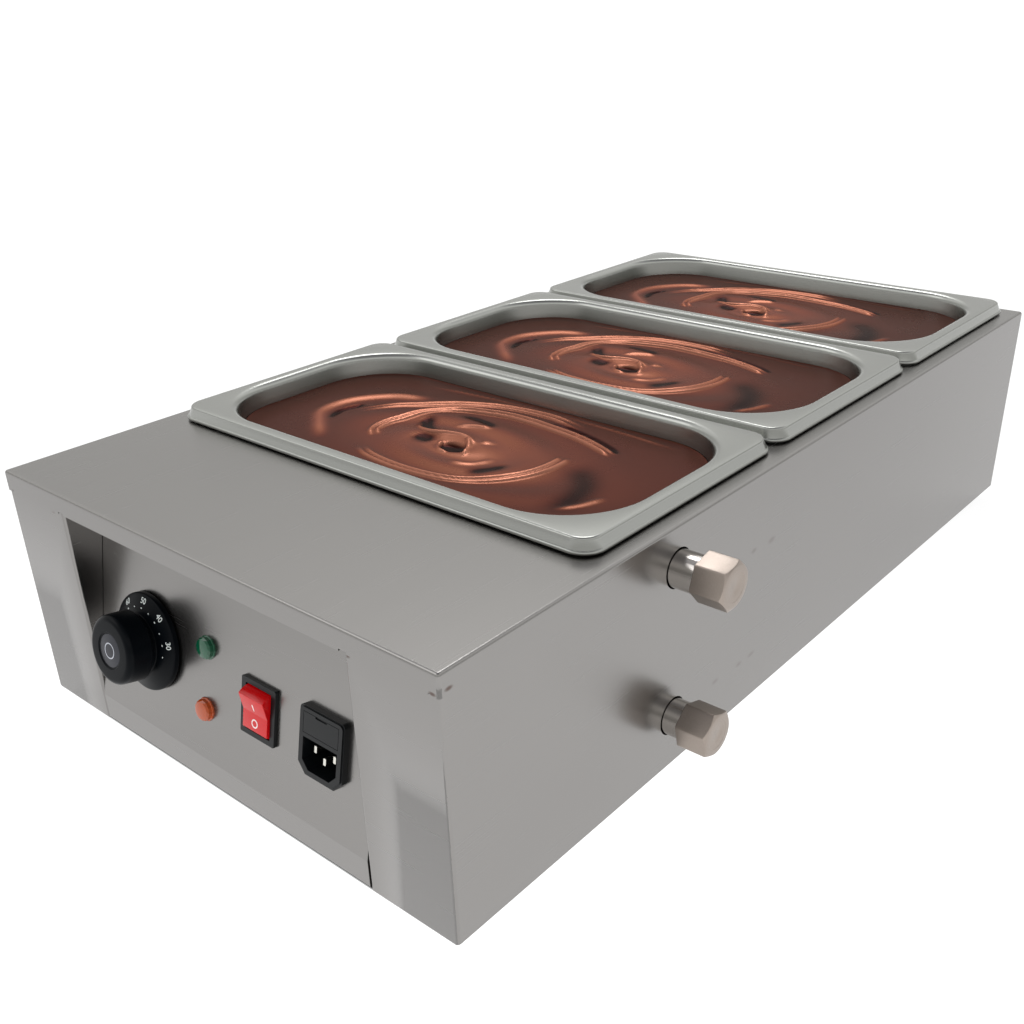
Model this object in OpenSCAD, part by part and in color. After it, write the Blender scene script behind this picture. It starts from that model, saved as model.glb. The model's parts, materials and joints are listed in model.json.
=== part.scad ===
// Water-bath chocolate melting pot: a stainless casing with three lift-out pans in one heated tank.
// The front faces -Y, +X is to the right, +Z is up and the feet stand on z = 0.

/* [Casing] */
// Clear deck in front of the first pan
front_deck = 112; // [100:1:150]
// Deck behind the last pan
rear_margin = 8; // [7:0.5:30]
// Deck on each side of the pans
side_margin = 10.5; // [9:0.5:30]
// Height of the casing above its feet
case_h = 148; // [142:1:190]
// Thickness of the stainless sheet
sheet_t = 1; // [0.8:0.1:1.4]
// Outer radius of the folds in the sheet
bend_r = 1.8; // [1.6:0.1:3]
// Height of the folded lip round the deck
lip_h = 12; // [9:0.5:16]
// Width of the recess that holds the control panel
recess_w = 230; // [224:1:250]
// Width of the flanges folded inwards along the bottom
bottom_flange_w = 14; // [10:1:20]
// Height of the rubber feet
foot_h = 8; // [6:0.5:15]
// Diameter of a foot at its top
foot_d = 24; // [20:1:30]
// Distance of each foot from the nearest edges
foot_inset = 32; // [28:1:50]

/* [Control panel] */
// Lean of the panel from upright, in degrees
panel_tilt = 11.6; // [8:0.2:14]
// Height of the upright toe of the panel above the feet
toe_h = 18; // [14:1:24]
// Distance from the casing's middle to the dial's axis, to the left
dial_offset = 66; // [62:1:72]
// Height of the dial's axis up the panel from its toe
dial_rise = 52; // [46:1:62]
// Distance from the casing's middle to the lamps, to the left
lamp_offset = 14; // [8:1:20]
// Height of the green lamp up the panel
green_rise = 66; // [60:1:80]
// Height of the orange lamp up the panel
orange_rise = 30; // [20:1:36]
// Distance from the casing's middle to the switch, to the right
switch_offset = 31; // [28:1:36]
// Height of the switch up the panel
switch_rise = 47; // [40:1:60]
// Distance from the casing's middle to the mains inlet, to the right
inlet_offset = 81; // [76:1:88]
// Height of the mains inlet up the panel
inlet_rise = 47.5; // [42:0.5:60]

/* [Dial] */
// Diameter of the numbered skirt
skirt_d = 56; // [48:1:60]
// Thickness of the skirt at its edge
skirt_t = 3.2; // [2.5:0.1:5]
// Diameter of the grip where it meets the skirt
grip_d = 40; // [34:1:42]
// Height of the knob above the panel
knob_h = 26; // [22:1:32]
// Diameter of the silver disc in the knob's face
disc_d = 19; // [14:1:24]
// Diameter of the spindle
spindle_d = 6; // [5:0.5:7]

/* [Lamps and switch] */
// Diameter of a lamp lens
lens_d = 12; // [10:0.5:14]
// How far a lens stands out of the panel
lens_proud = 4.4; // [3:0.2:7]
// Width of the switch bezel
bezel_w = 27; // [25:0.5:30]
// Height of the switch bezel
bezel_h = 31.5; // [30:0.5:36]
// How far the bezel stands out of the panel
bezel_proud = 2; // [1.6:0.1:3]
// Width of the rocker
rocker_w = 19.4; // [17:0.2:20]
// Swing of the rocker from one side to the other, in degrees
rocker_swing = 20; // [14:1:24]

/* [Mains inlet] */
// Width of the inlet flange
inlet_w = 32; // [31:0.5:36]
// Height of the inlet flange
inlet_h = 37; // [36:0.5:42]
// How far the flange stands out of the panel
inlet_proud = 4; // [3:0.2:5]
// Width of the plug socket
socket_w = 24.6; // [24:0.1:26]
// Height of the plug socket
socket_h = 17; // [16.6:0.1:18]
// Depth of the plug socket from the flange face
socket_depth = 17; // [15:0.5:20]
// Height of the fuse drawer's face
drawer_h = 11; // [10:0.5:12]

/* [Pans] */
// Width of a pan over its rim, across the casing
pan_w = 325; // [310:1:340]
// Length of a pan over its rim, along the casing
pan_l = 176; // [168:1:190]
// Gap between neighbouring rims
pan_gap = 3.5; // [2.5:0.1:8]
// Depth of a pan from its rim to its underside
pan_depth = 100; // [90:1:104]
// Thickness of the pan wall
pan_t = 0.8; // [0.6:0.1:1]
// Height of the rim above the deck
rim_h = 9; // [8:0.5:12]
// Width of the rim from its edge to the mouth
rim_land = 12.5; // [11.5:0.5:16]
// Corner radius of the rim
rim_r = 13; // [10:0.5:16]
// Corner radius of the mouth
mouth_r = 49; // [40:1:56]
// How far the wall draws in from the mouth to the bottom
wall_draw = 12; // [8:0.5:14]
// Depth of the chocolate's surface below the rim
fill_drop = 17; // [14:1:30]
// Height of the swirls in the chocolate
swirl_h = 1.6; // [0.6:0.1:2]

/* [Water tank] */
// Height of the tank floor above the feet
tank_rise = 15; // [13:0.5:20]
// Clearance between a pan and the edge of its well
well_gap = 2; // [1.6:0.1:4]
// Margin from the wells to the tank wall
tank_margin = 2.5; // [2:0.1:6]
// Corner radius of the tank
tank_r = 22; // [16:1:30]
// Diameter of the heating element's tube
heater_d = 8; // [6.5:0.5:10]
// Height of the element above the tank floor
heater_rise = 20; // [17:0.5:22]
// Distance from the middle to the outer pair of legs
heater_outer = 95; // [85:1:110]
// Distance from the middle to the inner pair of legs
heater_inner = 40; // [32:1:50]

/* [Drain and overflow] */
// Outside diameter of the pipe thread
pipe_d = 21; // [18:0.5:22]
// Bore of the pipe stubs
pipe_bore = 15; // [12:0.5:16]
// Distance of both stubs behind the casing's front
stub_setback = 173; // [165:1:185]
// Height of the drain's axis above the feet
drain_rise = 33; // [32:0.5:38]
// Height of the overflow's axis above the feet
overflow_rise = 123.5; // [118:0.5:126]
// Bare length of the drain stub outside the casing
drain_reach = 10; // [8:0.5:20]
// Bare length of the overflow stub outside the casing
overflow_reach = 14.5; // [8:0.5:20]
// Size of the cap across its flats
cap_af = 24; // [23:0.5:27]
// Length of the cap
cap_l = 18.5; // [17:0.5:24]
// Travel of the thread in one turn
thread_pitch = 1.814; // [1.5:0.001:2]

/* [Hidden] */
$fn = 48;

// Fits and clearances
overrun = 1;
shaft_play = 0.05;
seat_gap = 0.3;
snap_gap = 0.15;
panel_gap = 0.4;
rear_gap = 0.3;

// The casing
case_w = pan_w + 2 * side_margin;
case_l = front_deck + 3 * pan_l + 2 * pan_gap + rear_margin;
z_deck = foot_h + case_h;
z_floor = foot_h + sheet_t;
y_front = -case_l / 2;
y_rear = case_l / 2;
y_cheek = y_front + sheet_t;
z_lip = z_deck - lip_h;
recess_x = recess_w / 2;
return_depth = 10;
stub_hole_gap = 0.8;
notch_w = 1.2;
notch_l = 5;
bend_steps = 4;

// The control panel: local x across, y up the slope, z out of its face
z_toe = foot_h + toe_h;
z_panel_top = z_deck - sheet_t;
panel_top_flange = 14;
panel_bottom_flange = 16;
panel_side_flange = 9;
panel_w = recess_w - 2 * panel_gap;
panel_top_y = y_cheek + (z_panel_top - z_toe) * tan(panel_tilt);

// The base
base_inset = 1.5;
vent_count = 7;
vent_w = 3.6;
vent_l = 46;
vent_pitch = 12;
vent_y = y_front + front_deck / 2;
screw_d = 4;
screw_head_d = 7.6;
screw_head_h = 2.2;
screw_socket_d = 2.6;
nut_af = 7;
nut_t = 3;
base_screw_rows = 4;
base_screw_inset = 40;
foot_taper = 2;
foot_pocket_h = 4;

// The pans
pan_names_pitch = pan_l + pan_gap;
pan_y = [for (k = [0:2]) y_front + front_deck + pan_l / 2 + k * pan_names_pitch];
z_rim = z_deck + rim_h;
mouth_hx = pan_w / 2 - rim_land;
mouth_hy = pan_l / 2 - rim_land;
rim_fold_r = 2.4;
mouth_fold_r = 4.6;
bead_out = 1.1;
bead_h = 2.4;
bead_lift = 1.6;
skirt_back = 3.4;
skirt_foot = 1.4;
shoulder_drop = 30;
shoulder_step = 1.4;
shoulder_slope = 2.4;
floor_r = 12;
corner_steps = 7;
z_pan_bottom = z_rim - pan_depth;

// The chocolate
z_fill = z_rim - fill_drop;
long_steps = 6;
short_steps = 3;
fill_rings = 13;
swirl_wave = 25;
swirl_stretch = 1.9;
swirl_reach = 46;
swirl_dip = 2.6;
swirl_dip_r = 9;
swirl_edge_rise = 0.5;
swirl_centres = [[0, -9], [-8, -7], [-8, -13]];
eye_share = 0.05;

// The water tank
well_hx = mouth_hx + pan_t + well_gap;
well_hy = mouth_hy + pan_t + well_gap;
well_r = mouth_r + pan_t + well_gap;
tank_hx = well_hx + tank_margin;
tank_y0 = pan_y[0] - well_hy - tank_margin;
tank_y1 = pan_y[2] + well_hy + tank_margin;
z_tank = foot_h + tank_rise;
tank_flange = 8;
heater_z = z_tank + heater_rise;
heater_rear_gap = 60;
heater_tail = 24;
heater_pin_d = 3.6;
heater_pin_l = 9;
gland_af = 17;
gland_t = 5;
gland_plate = 2;
gland_plate_d = 20;
bulb_d = 6;
bulb_l = 95;
bulb_x = 0;
bulb_tail = 12;
bulb_gland_af = 12;
capillary_d = 2;

// The thermostat
bush_d = 10;
bush_proud = 2.6;
thermostat_w = 44;
thermostat_h = 34;
thermostat_deep = 30;
thermostat_lug_w = 8;
thermostat_lug_t = 2;
thermostat_screw_x = 14;
m4_head_d = 6.6;
m4_head_h = 1.6;
capillary_drop = 22;

// The knob
knob_lift = 0.9;
skirt_cone = 3;
skirt_hollow = 2.2;
skirt_wall = 2.4;
grip_taper = 0.8;
grip_round = 1.6;
disc_t = 1.2;
disc_sink = 0.5;
hub_bore_deep = 13;
flat_share = 0.8;

// The lamps
lamp_body_d = 10;
lamp_body_l = 22;
lens_flange_t = 1;
lens_flange_d = 13.4;
lamp_tab_w = 3;
lamp_tab_t = 0.8;
lamp_tab_l = 7;

// The switch: the pivot lies just behind the panel face
switch_body_w = 21.8;
switch_body_h = 28;
switch_body_deep = 22;
switch_wall = 1;
rocker_play = 0.3;
rocker_r = 12.4;
rocker_face = 3.8;
rocker_back = 4.4;
bezel_r = 1;
pivot_sink = 2;
pivot_d = 3;
pivot_l = 0.6;
switch_tab_w = 6.3;
switch_tab_t = 0.8;
switch_tab_l = 9;
switch_tab_gap = 8;

// The inlet
inlet_body_w = 27;
inlet_body_h = 31.4;
inlet_body_deep = 27;
inlet_round = 2.4;
inlet_chamfer = 5.5;
inlet_edge = 0.8;
socket_chamfer = 4.6;
socket_drop = 6.4;
drawer_w = 25;
drawer_rise = 10;
drawer_face_t = 2.4;
drawer_tray_w = 21;
drawer_tray_h = 8;
drawer_tray_l = 22;
drawer_play = 0.2;
drawer_wall = 1;
drawer_notch_r = 1;
fuse_d = 5;
fuse_l = 20;
fuse_cap_d = 5.2;
fuse_cap_l = 5;
pin_w = 2;
pin_h = 4;
pin_out = 13.5;
pin_tail = 10;
pin_x = 7;
earth_pin_drop = 4;

// The terminal block and the earth stud
block_ways = 6;
way_w = 9;
block_l = 20;
block_h = 14;
block_step = 4;
block_x = 64;
block_screw_d = 3.6;
earth_inset = 53;
earth_d = 5;
earth_l = 16;
earth_nut_af = 8;
earth_nut_t = 4;

// The stubs and their caps
collar_d = 28;
collar_t = 3;
gasket_t = 1.5;
locknut_af = 27;
locknut_t = 5;
stub_tail = 6;
thread_relief = 0.3;
washer_t = 2;
cap_end_t = 3;
cap_skirt = 1;
cap_chamfer_r = 0.7;
cap_chamfer_h = 1.8;
drain_cap_turn = 12;
overflow_cap_turn = -18;
drain_z = foot_h + drain_rise;
overflow_z = foot_h + overflow_rise;
stub_y = y_front + stub_setback;
x_wall = case_w / 2;
x_tank = tank_hx + sheet_t;

// A vector of unit length
function unit(v) = v / norm(v);

// A plane vector turned a quarter to the left
function left_of(v) = [-v[1], v[0]];

// A plane vector turned by an angle
function turned(v, a) = [v[0] * cos(a) - v[1] * sin(a), v[0] * sin(a) + v[1] * cos(a)];

// One rounded corner of a folded sheet, drawn at the face line (side 0) or one thickness to its left (side 1)
function fold_arc(p, i, t, r, side) =
    let (
        a = unit(p[i] - p[i - 1]),
        b = unit(p[i + 1] - p[i]),
        turn = atan2(cross(a, b), a * b),
        s = sign(turn),
        face_r = s > 0 ? r : r - t,
        centre = p[i] - a * face_r * tan(abs(turn) / 2) + s * face_r * left_of(a)
    )
    [for (k = [0:bend_steps])
        centre + turned(-s * left_of(a), turn * k / bend_steps) * (face_r - side * s * t)];

// The outline of a sheet folded along the open line p, with the metal on the line's left
function folded_sheet(p, t, r) =
    let (
        last = len(p) - 1,
        inner = [for (i = [1:1:last - 1]) each fold_arc(p, i, t, r, 1)],
        start = p[0] + t * left_of(unit(p[1] - p[0])),
        end = p[last] + t * left_of(unit(p[last] - p[last - 1])),
        back = concat([start], inner, [end])
    )
    concat(
        [p[0]],
        [for (i = [1:1:last - 1]) each fold_arc(p, i, t, r, 0)],
        [p[last]],
        [for (i = [len(back) - 1:-1:0]) back[i]]
    );

// A profile drawn in y and z, carried along x over a length, centred
module along_x(length) {
    rotate([90, 0, 90])
        translate([0, 0, -length / 2])
            linear_extrude(length)
                children();
}

// A profile drawn in x and z, carried along y from y0 to y1
module along_y(y0, y1) {
    translate([0, y1, 0])
        rotate([90, 0, 0])
            linear_extrude(y1 - y0)
                children();
}

// A block with four rounded upright corners
module round_block(w, l, h, r) {
    translate([-w / 2 + r, -l / 2, 0])
        cube([w - 2 * r, l, h]);
    translate([-w / 2, -l / 2 + r, 0])
        cube([w, l - 2 * r, h]);
    for (sx = [-1, 1], sy = [-1, 1])
        translate([sx * (w / 2 - r), sy * (l / 2 - r), 0])
            cylinder(r = r, h = h);
}

// A block whose upright corners and upper edges are all rounded
module soft_block(w, l, h, r) {
    round_block(w, l, h - r, r);
    translate([-w / 2 + r, -l / 2 + r, 0])
        cube([w - 2 * r, l - 2 * r, h]);
    for (sx = [-1, 1]) {
        translate([sx * (w / 2 - r), l / 2 - r, h - r])
            rotate([90, 0, 0])
                cylinder(r = r, h = l - 2 * r);
        translate([-w / 2 + r, sx * (l / 2 - r), h - r])
            rotate([0, 90, 0])
                cylinder(r = r, h = w - 2 * r);
    }
    for (sx = [-1, 1], sy = [-1, 1])
        translate([sx * (w / 2 - r), sy * (l / 2 - r), h - r])
            sphere(r = r);
}

// A hexagon bar along z, measured across its flats
module hex_bar(af, h) {
    cylinder(d = af / cos(30), h = h, $fn = 6);
}

// Puts children on the sloping control panel
module on_panel(x = 0, rise = 0, out = 0) {
    translate([0, y_cheek, z_toe])
        rotate([90 - panel_tilt, 0, 0])
            translate([x, rise, out])
                children();
}

// Points children along +X from the tank's right wall
module at_stub(x, z) {
    translate([x, stub_y, z])
        rotate([0, 90, 0])
            children();
}

// One side of the casing with its cheek and the return flange beside the panel, for the right side
module side_wrap() {
    line = [
        [recess_x, y_cheek + case_l / 6],
        [recess_x, y_cheek],
        [x_wall, y_cheek],
        [x_wall, y_rear - sheet_t]
    ];
    difference() {
        translate([0, 0, z_floor])
            linear_extrude(z_deck - bend_r - z_floor)
                polygon(folded_sheet(line, sheet_t, bend_r));
        return_flange_cut();
    }
    // Flange along the bottom of the side
    translate([x_wall - bottom_flange_w, y_cheek + bend_r, z_floor])
        cube([bottom_flange_w - sheet_t / 2, case_l - bend_r - 3 * sheet_t - rear_gap, sheet_t]);
}

// What is cut off behind the return flange: it follows the slope of the panel
module return_flange_cut() {
    translate([recess_x - overrun, 0, 0])
        rotate([90, 0, 90])
            linear_extrude(sheet_t + 2 * overrun)
                polygon([
                    [y_cheek + return_depth, z_floor - overrun],
                    [y_cheek + return_depth, z_toe],
                    [y_cheek + return_depth + (z_deck - z_toe) * tan(panel_tilt), z_deck],
                    [y_rear, z_deck],
                    [y_rear, z_floor - overrun]
                ]);
}

// Deck with its lip all round, open wells and a rounded edge
module deck_cap() {
    difference() {
        translate([0, 0, z_lip])
            soft_block(case_w, case_l, lip_h, bend_r);
        translate([0, 0, z_lip - overrun])
            round_block(
                case_w - 2 * sheet_t,
                case_l - 2 * sheet_t,
                lip_h - sheet_t + overrun,
                bend_r - sheet_t
            );
        for (y = pan_y)
            translate([0, y, z_deck - sheet_t - overrun])
                round_block(2 * well_hx, 2 * well_hy, sheet_t + 2 * overrun, well_r);
        // Slots where three folds meet at the front corners
        for (sx = [-1, 1])
            translate([sx * (x_wall - notch_l - sheet_t) - notch_w / 2, y_front - overrun, z_lip - overrun])
                cube([notch_w, sheet_t + 2 * overrun, notch_w + overrun]);
        // Slots at the top corners of the panel recess
        for (sx = [-1, 1])
            translate([sx * recess_x - notch_l / 2, y_front - overrun, z_lip - overrun])
                cube([notch_l, sheet_t + 2 * overrun, notch_w + overrun]);
    }
}

module casing() {
    color("silver")
        difference() {
            union() {
                deck_cap();
                side_wrap();
                mirror([1, 0, 0])
                    side_wrap();
            }
            for (z = [drain_z, overflow_z])
                at_stub(x_wall - sheet_t - overrun, z)
                    cylinder(d = pipe_d + 2 * stub_hole_gap, h = sheet_t + 2 * overrun);
            base_screw_places()
                translate([0, 0, z_floor - overrun])
                    cylinder(d = screw_d + 2 * snap_gap, h = sheet_t + 2 * overrun);
        }
}

module rear_panel() {
    y_face = y_rear - sheet_t;
    line = [
        [y_face - bottom_flange_w, z_floor],
        [y_face, z_floor],
        [y_face, z_deck - sheet_t - rear_gap]
    ];
    width = case_w - 2 * bottom_flange_w - 2 * rear_gap;
    color("gainsboro")
        difference() {
            union() {
                along_x(width)
                    polygon(folded_sheet(line, sheet_t, bend_r));
                translate([-x_wall + sheet_t + rear_gap, y_face - sheet_t, z_floor + sheet_t + rear_gap])
                    cube([
                        case_w - 2 * sheet_t - 2 * rear_gap,
                        sheet_t,
                        z_deck - z_floor - 2 * sheet_t - 2 * rear_gap
                    ]);
            }
            base_screw_places()
                translate([0, 0, z_floor - overrun])
                    cylinder(d = screw_d + 2 * snap_gap, h = sheet_t + 2 * overrun);
        }
}

module control_panel() {
    line = [
        [panel_top_y + panel_top_flange, z_panel_top],
        [panel_top_y, z_panel_top],
        [y_cheek, z_toe],
        [y_cheek, z_floor],
        [y_cheek + panel_bottom_flange, z_floor]
    ];
    color("lightgray")
        difference() {
            union() {
                along_x(panel_w)
                    polygon(folded_sheet(line, sheet_t, bend_r));
                // Flanges folded back beside the casing's cheeks
                for (sx = [0, 1])
                    mirror([sx, 0, 0])
                        on_panel(panel_w / 2 - sheet_t, 2 * bend_r, -panel_side_flange)
                            cube([
                                sheet_t,
                                z_panel_top - z_toe - 5 * bend_r,
                                panel_side_flange - sheet_t / 2
                            ]);
            }
            on_panel(-dial_offset, dial_rise, -sheet_t - overrun)
                cylinder(d = bush_d + 2 * snap_gap, h = sheet_t + 2 * overrun);
            for (sx = [-1, 1])
                on_panel(-dial_offset + sx * thermostat_screw_x, dial_rise, -sheet_t - overrun)
                    cylinder(d = screw_d + 2 * snap_gap, h = sheet_t + 2 * overrun);
            for (rise = [green_rise, orange_rise])
                on_panel(-lamp_offset, rise, -sheet_t - overrun)
                    cylinder(d = lamp_body_d + 2 * snap_gap, h = sheet_t + 2 * overrun);
            on_panel(switch_offset, switch_rise, -sheet_t - overrun)
                centred_box(
                    switch_body_w + 2 * snap_gap,
                    switch_body_h + 2 * snap_gap,
                    sheet_t + 2 * overrun
                );
            on_panel(inlet_offset, inlet_rise, -sheet_t - overrun)
                centred_box(
                    inlet_body_w + 2 * snap_gap,
                    inlet_body_h + 2 * snap_gap,
                    sheet_t + 2 * overrun
                );
            base_screw_places()
                translate([0, 0, z_floor - overrun])
                    cylinder(d = screw_d + 2 * snap_gap, h = sheet_t + 2 * overrun);
        }
}

// A box centred in x and y that stands on z = 0
module centred_box(w, l, h) {
    translate([-w / 2, -l / 2, 0])
        cube([w, l, h]);
}

// Puts children at every screw that holds the base plate to the flanges round it
module base_screw_places() {
    for (sx = [-1, 1]) {
        for (k = [0:base_screw_rows - 1])
            translate([
                sx * (x_wall - bottom_flange_w / 2 - sheet_t),
                y_front + base_screw_inset + k * (case_l - 2 * base_screw_inset) / (base_screw_rows - 1),
                0
            ])
                children();
        translate([sx * recess_x / 2, y_cheek + panel_bottom_flange - screw_head_d, 0])
            children();
        translate([sx * recess_x / 2, y_rear - sheet_t - bottom_flange_w / 2 - sheet_t, 0])
            children();
    }
}

// Puts children at the four feet
module foot_places() {
    for (sx = [-1, 1], sy = [-1, 1])
        translate([sx * (x_wall - foot_inset), sy * (case_l / 2 - foot_inset), 0])
            children();
}

module base_plate() {
    color("silver")
        difference() {
            translate([-x_wall + base_inset, y_front + base_inset, foot_h])
                cube([case_w - 2 * base_inset, case_l - 2 * base_inset, sheet_t]);
            for (k = [0:vent_count - 1], sx = [-1, 1])
                translate([
                    sx * case_w / 5 - vent_l / 2,
                    vent_y + (k - (vent_count - 1) / 2) * vent_pitch - vent_w / 2,
                    foot_h - overrun
                ])
                    cube([vent_l, vent_w, sheet_t + 2 * overrun]);
            base_screw_places()
                translate([0, 0, foot_h - overrun])
                    cylinder(d = screw_d + 2 * snap_gap, h = sheet_t + 2 * overrun);
            foot_places()
                translate([0, 0, foot_h - overrun])
                    cylinder(d = screw_d + 2 * snap_gap, h = sheet_t + 2 * overrun);
        }
}

// An open tank with rounded corners, hung by its flange under the deck
module water_tank() {
    w = 2 * tank_hx;
    l = tank_y1 - tank_y0;
    y_mid = (tank_y0 + tank_y1) / 2;
    z_top = z_deck - sheet_t;
    color("lightsteelblue")
        difference() {
            translate([0, y_mid, 0]) {
                translate([0, 0, z_tank - sheet_t])
                    round_block(w + 2 * sheet_t, l + 2 * sheet_t, z_top - z_tank + sheet_t, tank_r + sheet_t);
                // Flange welded under the deck
                translate([0, 0, z_top - sheet_t])
                    round_block(
                        w + 2 * tank_flange,
                        l + 2 * tank_flange,
                        sheet_t,
                        tank_r + tank_flange
                    );
            }
            translate([0, y_mid, z_tank])
                round_block(w, l, z_top - z_tank + overrun, tank_r);
            for (z = [drain_z, overflow_z])
                at_stub(tank_hx - overrun, z)
                    cylinder(d = pipe_d + 2 * shaft_play, h = sheet_t + 2 * overrun);
            heater_leg_places()
                translate([0, 0, -overrun])
                    cylinder(d = heater_d + 2 * shaft_play, h = sheet_t + 2 * overrun);
            bulb_place()
                translate([0, 0, -overrun])
                    cylinder(d = bulb_d + 2 * shaft_play, h = sheet_t + 2 * overrun);
        }
}

// Points children forwards, out of the tank's front wall, at each leg of the heating element
module heater_leg_places() {
    for (x = [-heater_outer, -heater_inner, heater_inner, heater_outer])
        translate([x, tank_y0, heater_z])
            rotate([90, 0, 0])
                children();
}

// Points children forwards, out of the tank's front wall, at the temperature sensor
module bulb_place() {
    translate([bulb_x, tank_y0, heater_z])
        rotate([90, 0, 0])
            children();
}

// One rubber foot, with a deep pocket for its screw
module foot() {
    color("dimgray")
        difference() {
            cylinder(d1 = foot_d - 2 * foot_taper, d2 = foot_d, h = foot_h);
            translate([0, 0, -overrun])
                cylinder(d = screw_head_d + 2 * snap_gap, h = foot_pocket_h + overrun);
            translate([0, 0, -overrun])
                cylinder(d = screw_d + 2 * snap_gap, h = foot_h + 2 * overrun);
        }
}

module foot_at(sx, sy) {
    translate([sx * (x_wall - foot_inset), sy * (case_l / 2 - foot_inset), 0])
        foot();
}

// A pan-head screw that points up from z = 0, which is the seat of its head
module screw_up(shank) {
    difference() {
        union() {
            translate([0, 0, -screw_head_h])
                cylinder(d1 = screw_head_d * flat_share, d2 = screw_head_d, h = screw_head_h);
            cylinder(d = screw_d, h = shank);
        }
        translate([0, 0, -screw_head_h - overrun])
            cylinder(d = screw_socket_d, h = screw_head_h / 2 + overrun, $fn = 4);
    }
}

module foot_screws() {
    shank = foot_h - foot_pocket_h + sheet_t + nut_t;
    color("darkgray")
        foot_places() {
            translate([0, 0, foot_pocket_h])
                screw_up(shank);
            // The nut stands on the base plate
            translate([0, 0, foot_h + sheet_t])
                difference() {
                    hex_bar(nut_af, nut_t);
                    translate([0, 0, -overrun])
                        cylinder(d = screw_d, h = nut_t + 2 * overrun);
                }
        }
}

module base_screws() {
    color("darkgray")
        base_screw_places()
            translate([0, 0, foot_h])
                screw_up(2 * sheet_t + nut_t);
}

module base_nuts() {
    color("gray")
        base_screw_places()
            translate([0, 0, foot_h + 2 * sheet_t])
                difference() {
                    hex_bar(nut_af, nut_t);
                    translate([0, 0, -overrun])
                        cylinder(d = screw_d + 2 * shaft_play, h = nut_t + 2 * overrun);
                }
}

// One hairpin of the element: two legs joined by a half turn at the back
module hairpin(half, y_turn) {
    leg = y_turn - tank_y0 + heater_tail;
    for (sx = [-1, 1])
        translate([sx * half, y_turn, heater_z])
            rotate([90, 0, 0]) {
                cylinder(d = heater_d, h = leg);
                cylinder(d = heater_pin_d, h = leg + heater_pin_l);
            }
    translate([0, y_turn, heater_z])
        rotate_extrude(angle = 180)
            translate([half, 0])
                circle(d = heater_d);
}

module heating_element() {
    color("dimgray") {
        hairpin(heater_outer, tank_y1 - heater_rear_gap - heater_outer);
        hairpin(heater_inner, tank_y1 - 2 * heater_rear_gap - heater_outer);
    }
}

// A hexagonal gland with a round flange, screwed against the outside of the front wall
module gland(af, plate_d, bore) {
    translate([0, 0, sheet_t])
        difference() {
            union() {
                cylinder(d = plate_d, h = gland_plate);
                translate([0, 0, gland_plate])
                    hex_bar(af, gland_t);
            }
            translate([0, 0, -overrun])
                cylinder(d = bore + 2 * shaft_play, h = gland_plate + gland_t + 2 * overrun);
        }
}

module heater_glands() {
    color("goldenrod")
        heater_leg_places()
            gland(gland_af, gland_plate_d, heater_d);
}

module sensor_bulb() {
    color("peru")
        bulb_place() {
            translate([0, 0, -bulb_l])
                cylinder(d = bulb_d, h = bulb_l + sheet_t + gland_plate + gland_t + bulb_tail);
            translate([0, 0, -bulb_l])
                sphere(d = bulb_d);
        }
}

module sensor_gland() {
    color("goldenrod")
        bulb_place()
            gland(bulb_gland_af, bulb_gland_af + 2 * gland_plate, bulb_d);
}

// Both ends of the capillary: behind the sensor, and at the thermostat in the panel's own frame
capillary_start = [
    bulb_x,
    tank_y0 - sheet_t - gland_plate - gland_t - bulb_tail,
    heater_z
];
capillary_end_local = [-dial_offset + thermostat_w / 4, dial_rise - thermostat_h / 2, -thermostat_deep / 2];

// A point of the panel's own frame in the frame of the casing
function from_panel(p) = [
    p[0],
    y_cheek + p[1] * sin(panel_tilt) - p[2] * cos(panel_tilt),
    z_toe + p[1] * cos(panel_tilt) + p[2] * sin(panel_tilt)
];

// A smooth curve from a to b that leaves along u and arrives along v
function curve_point(a, b, u, v, s) =
    let (c1 = a + u, c2 = b - v, r = 1 - s)
    r * r * r * a + 3 * r * r * s * c1 + 3 * r * s * s * c2 + s * s * s * b;

capillary_rings = 18;
capillary_sides = 8;

// The rings of a round tube carried along points, each square to the run
function tube_rings(pts, d, sides) =
    let (last = len(pts) - 1)
    [for (i = [0:last])
        let (
            t = unit(pts[min(i + 1, last)] - pts[max(i - 1, 0)]),
            u = unit(cross(t, [0.3, 0.2, 1])),
            w = cross(u, t)
        )
        [for (k = [0:sides - 1]) pts[i] + (u * cos(360 * k / sides) + w * sin(360 * k / sides)) * d / 2]];

// The middle of a ring of points
function middle_of(ring) = [for (c = [0:2]) [for (p = ring) p[c]] * [for (p = ring) 1 / len(ring)]];

// A closed skin over a stack of rings that hold equally many points; fanned ends meet in a middle point
module loft(rings, fanned = false) {
    n = len(rings[0]);
    last = len(rings) - 1;
    top = last * n;
    points = concat([for (r = rings) each r], [middle_of(rings[0]), middle_of(rings[last])]);
    sides = [
        for (k = [0:last - 1], i = [0:n - 1])
            let (a = k * n + i, b = k * n + (i + 1) % n)
            each [[a, a + n, b + n], [a, b + n, b]]
    ];
    whole_ends = [[for (i = [0:n - 1]) i], [for (i = [n - 1:-1:0]) top + i]];
    fans = [
        for (i = [0:n - 1])
            let (j = (i + 1) % n)
            each [[i, j, top + n], [top + j, top + i, top + n + 1]]
    ];
    polyhedron(points = points, faces = concat(sides, fanned ? fans : whole_ends), convexity = 10);
}

module capillary_tube() {
    b = from_panel(capillary_end_local);
    down = [0, -capillary_drop * sin(panel_tilt), -capillary_drop * cos(panel_tilt)];
    forward = [0, -2 * capillary_drop, 0];
    pts = [for (i = [0:capillary_rings])
        curve_point(capillary_start, b, forward, -down, i / capillary_rings)];
    color("peru")
        loft(tube_rings(pts, capillary_d, capillary_sides));
}

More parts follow.
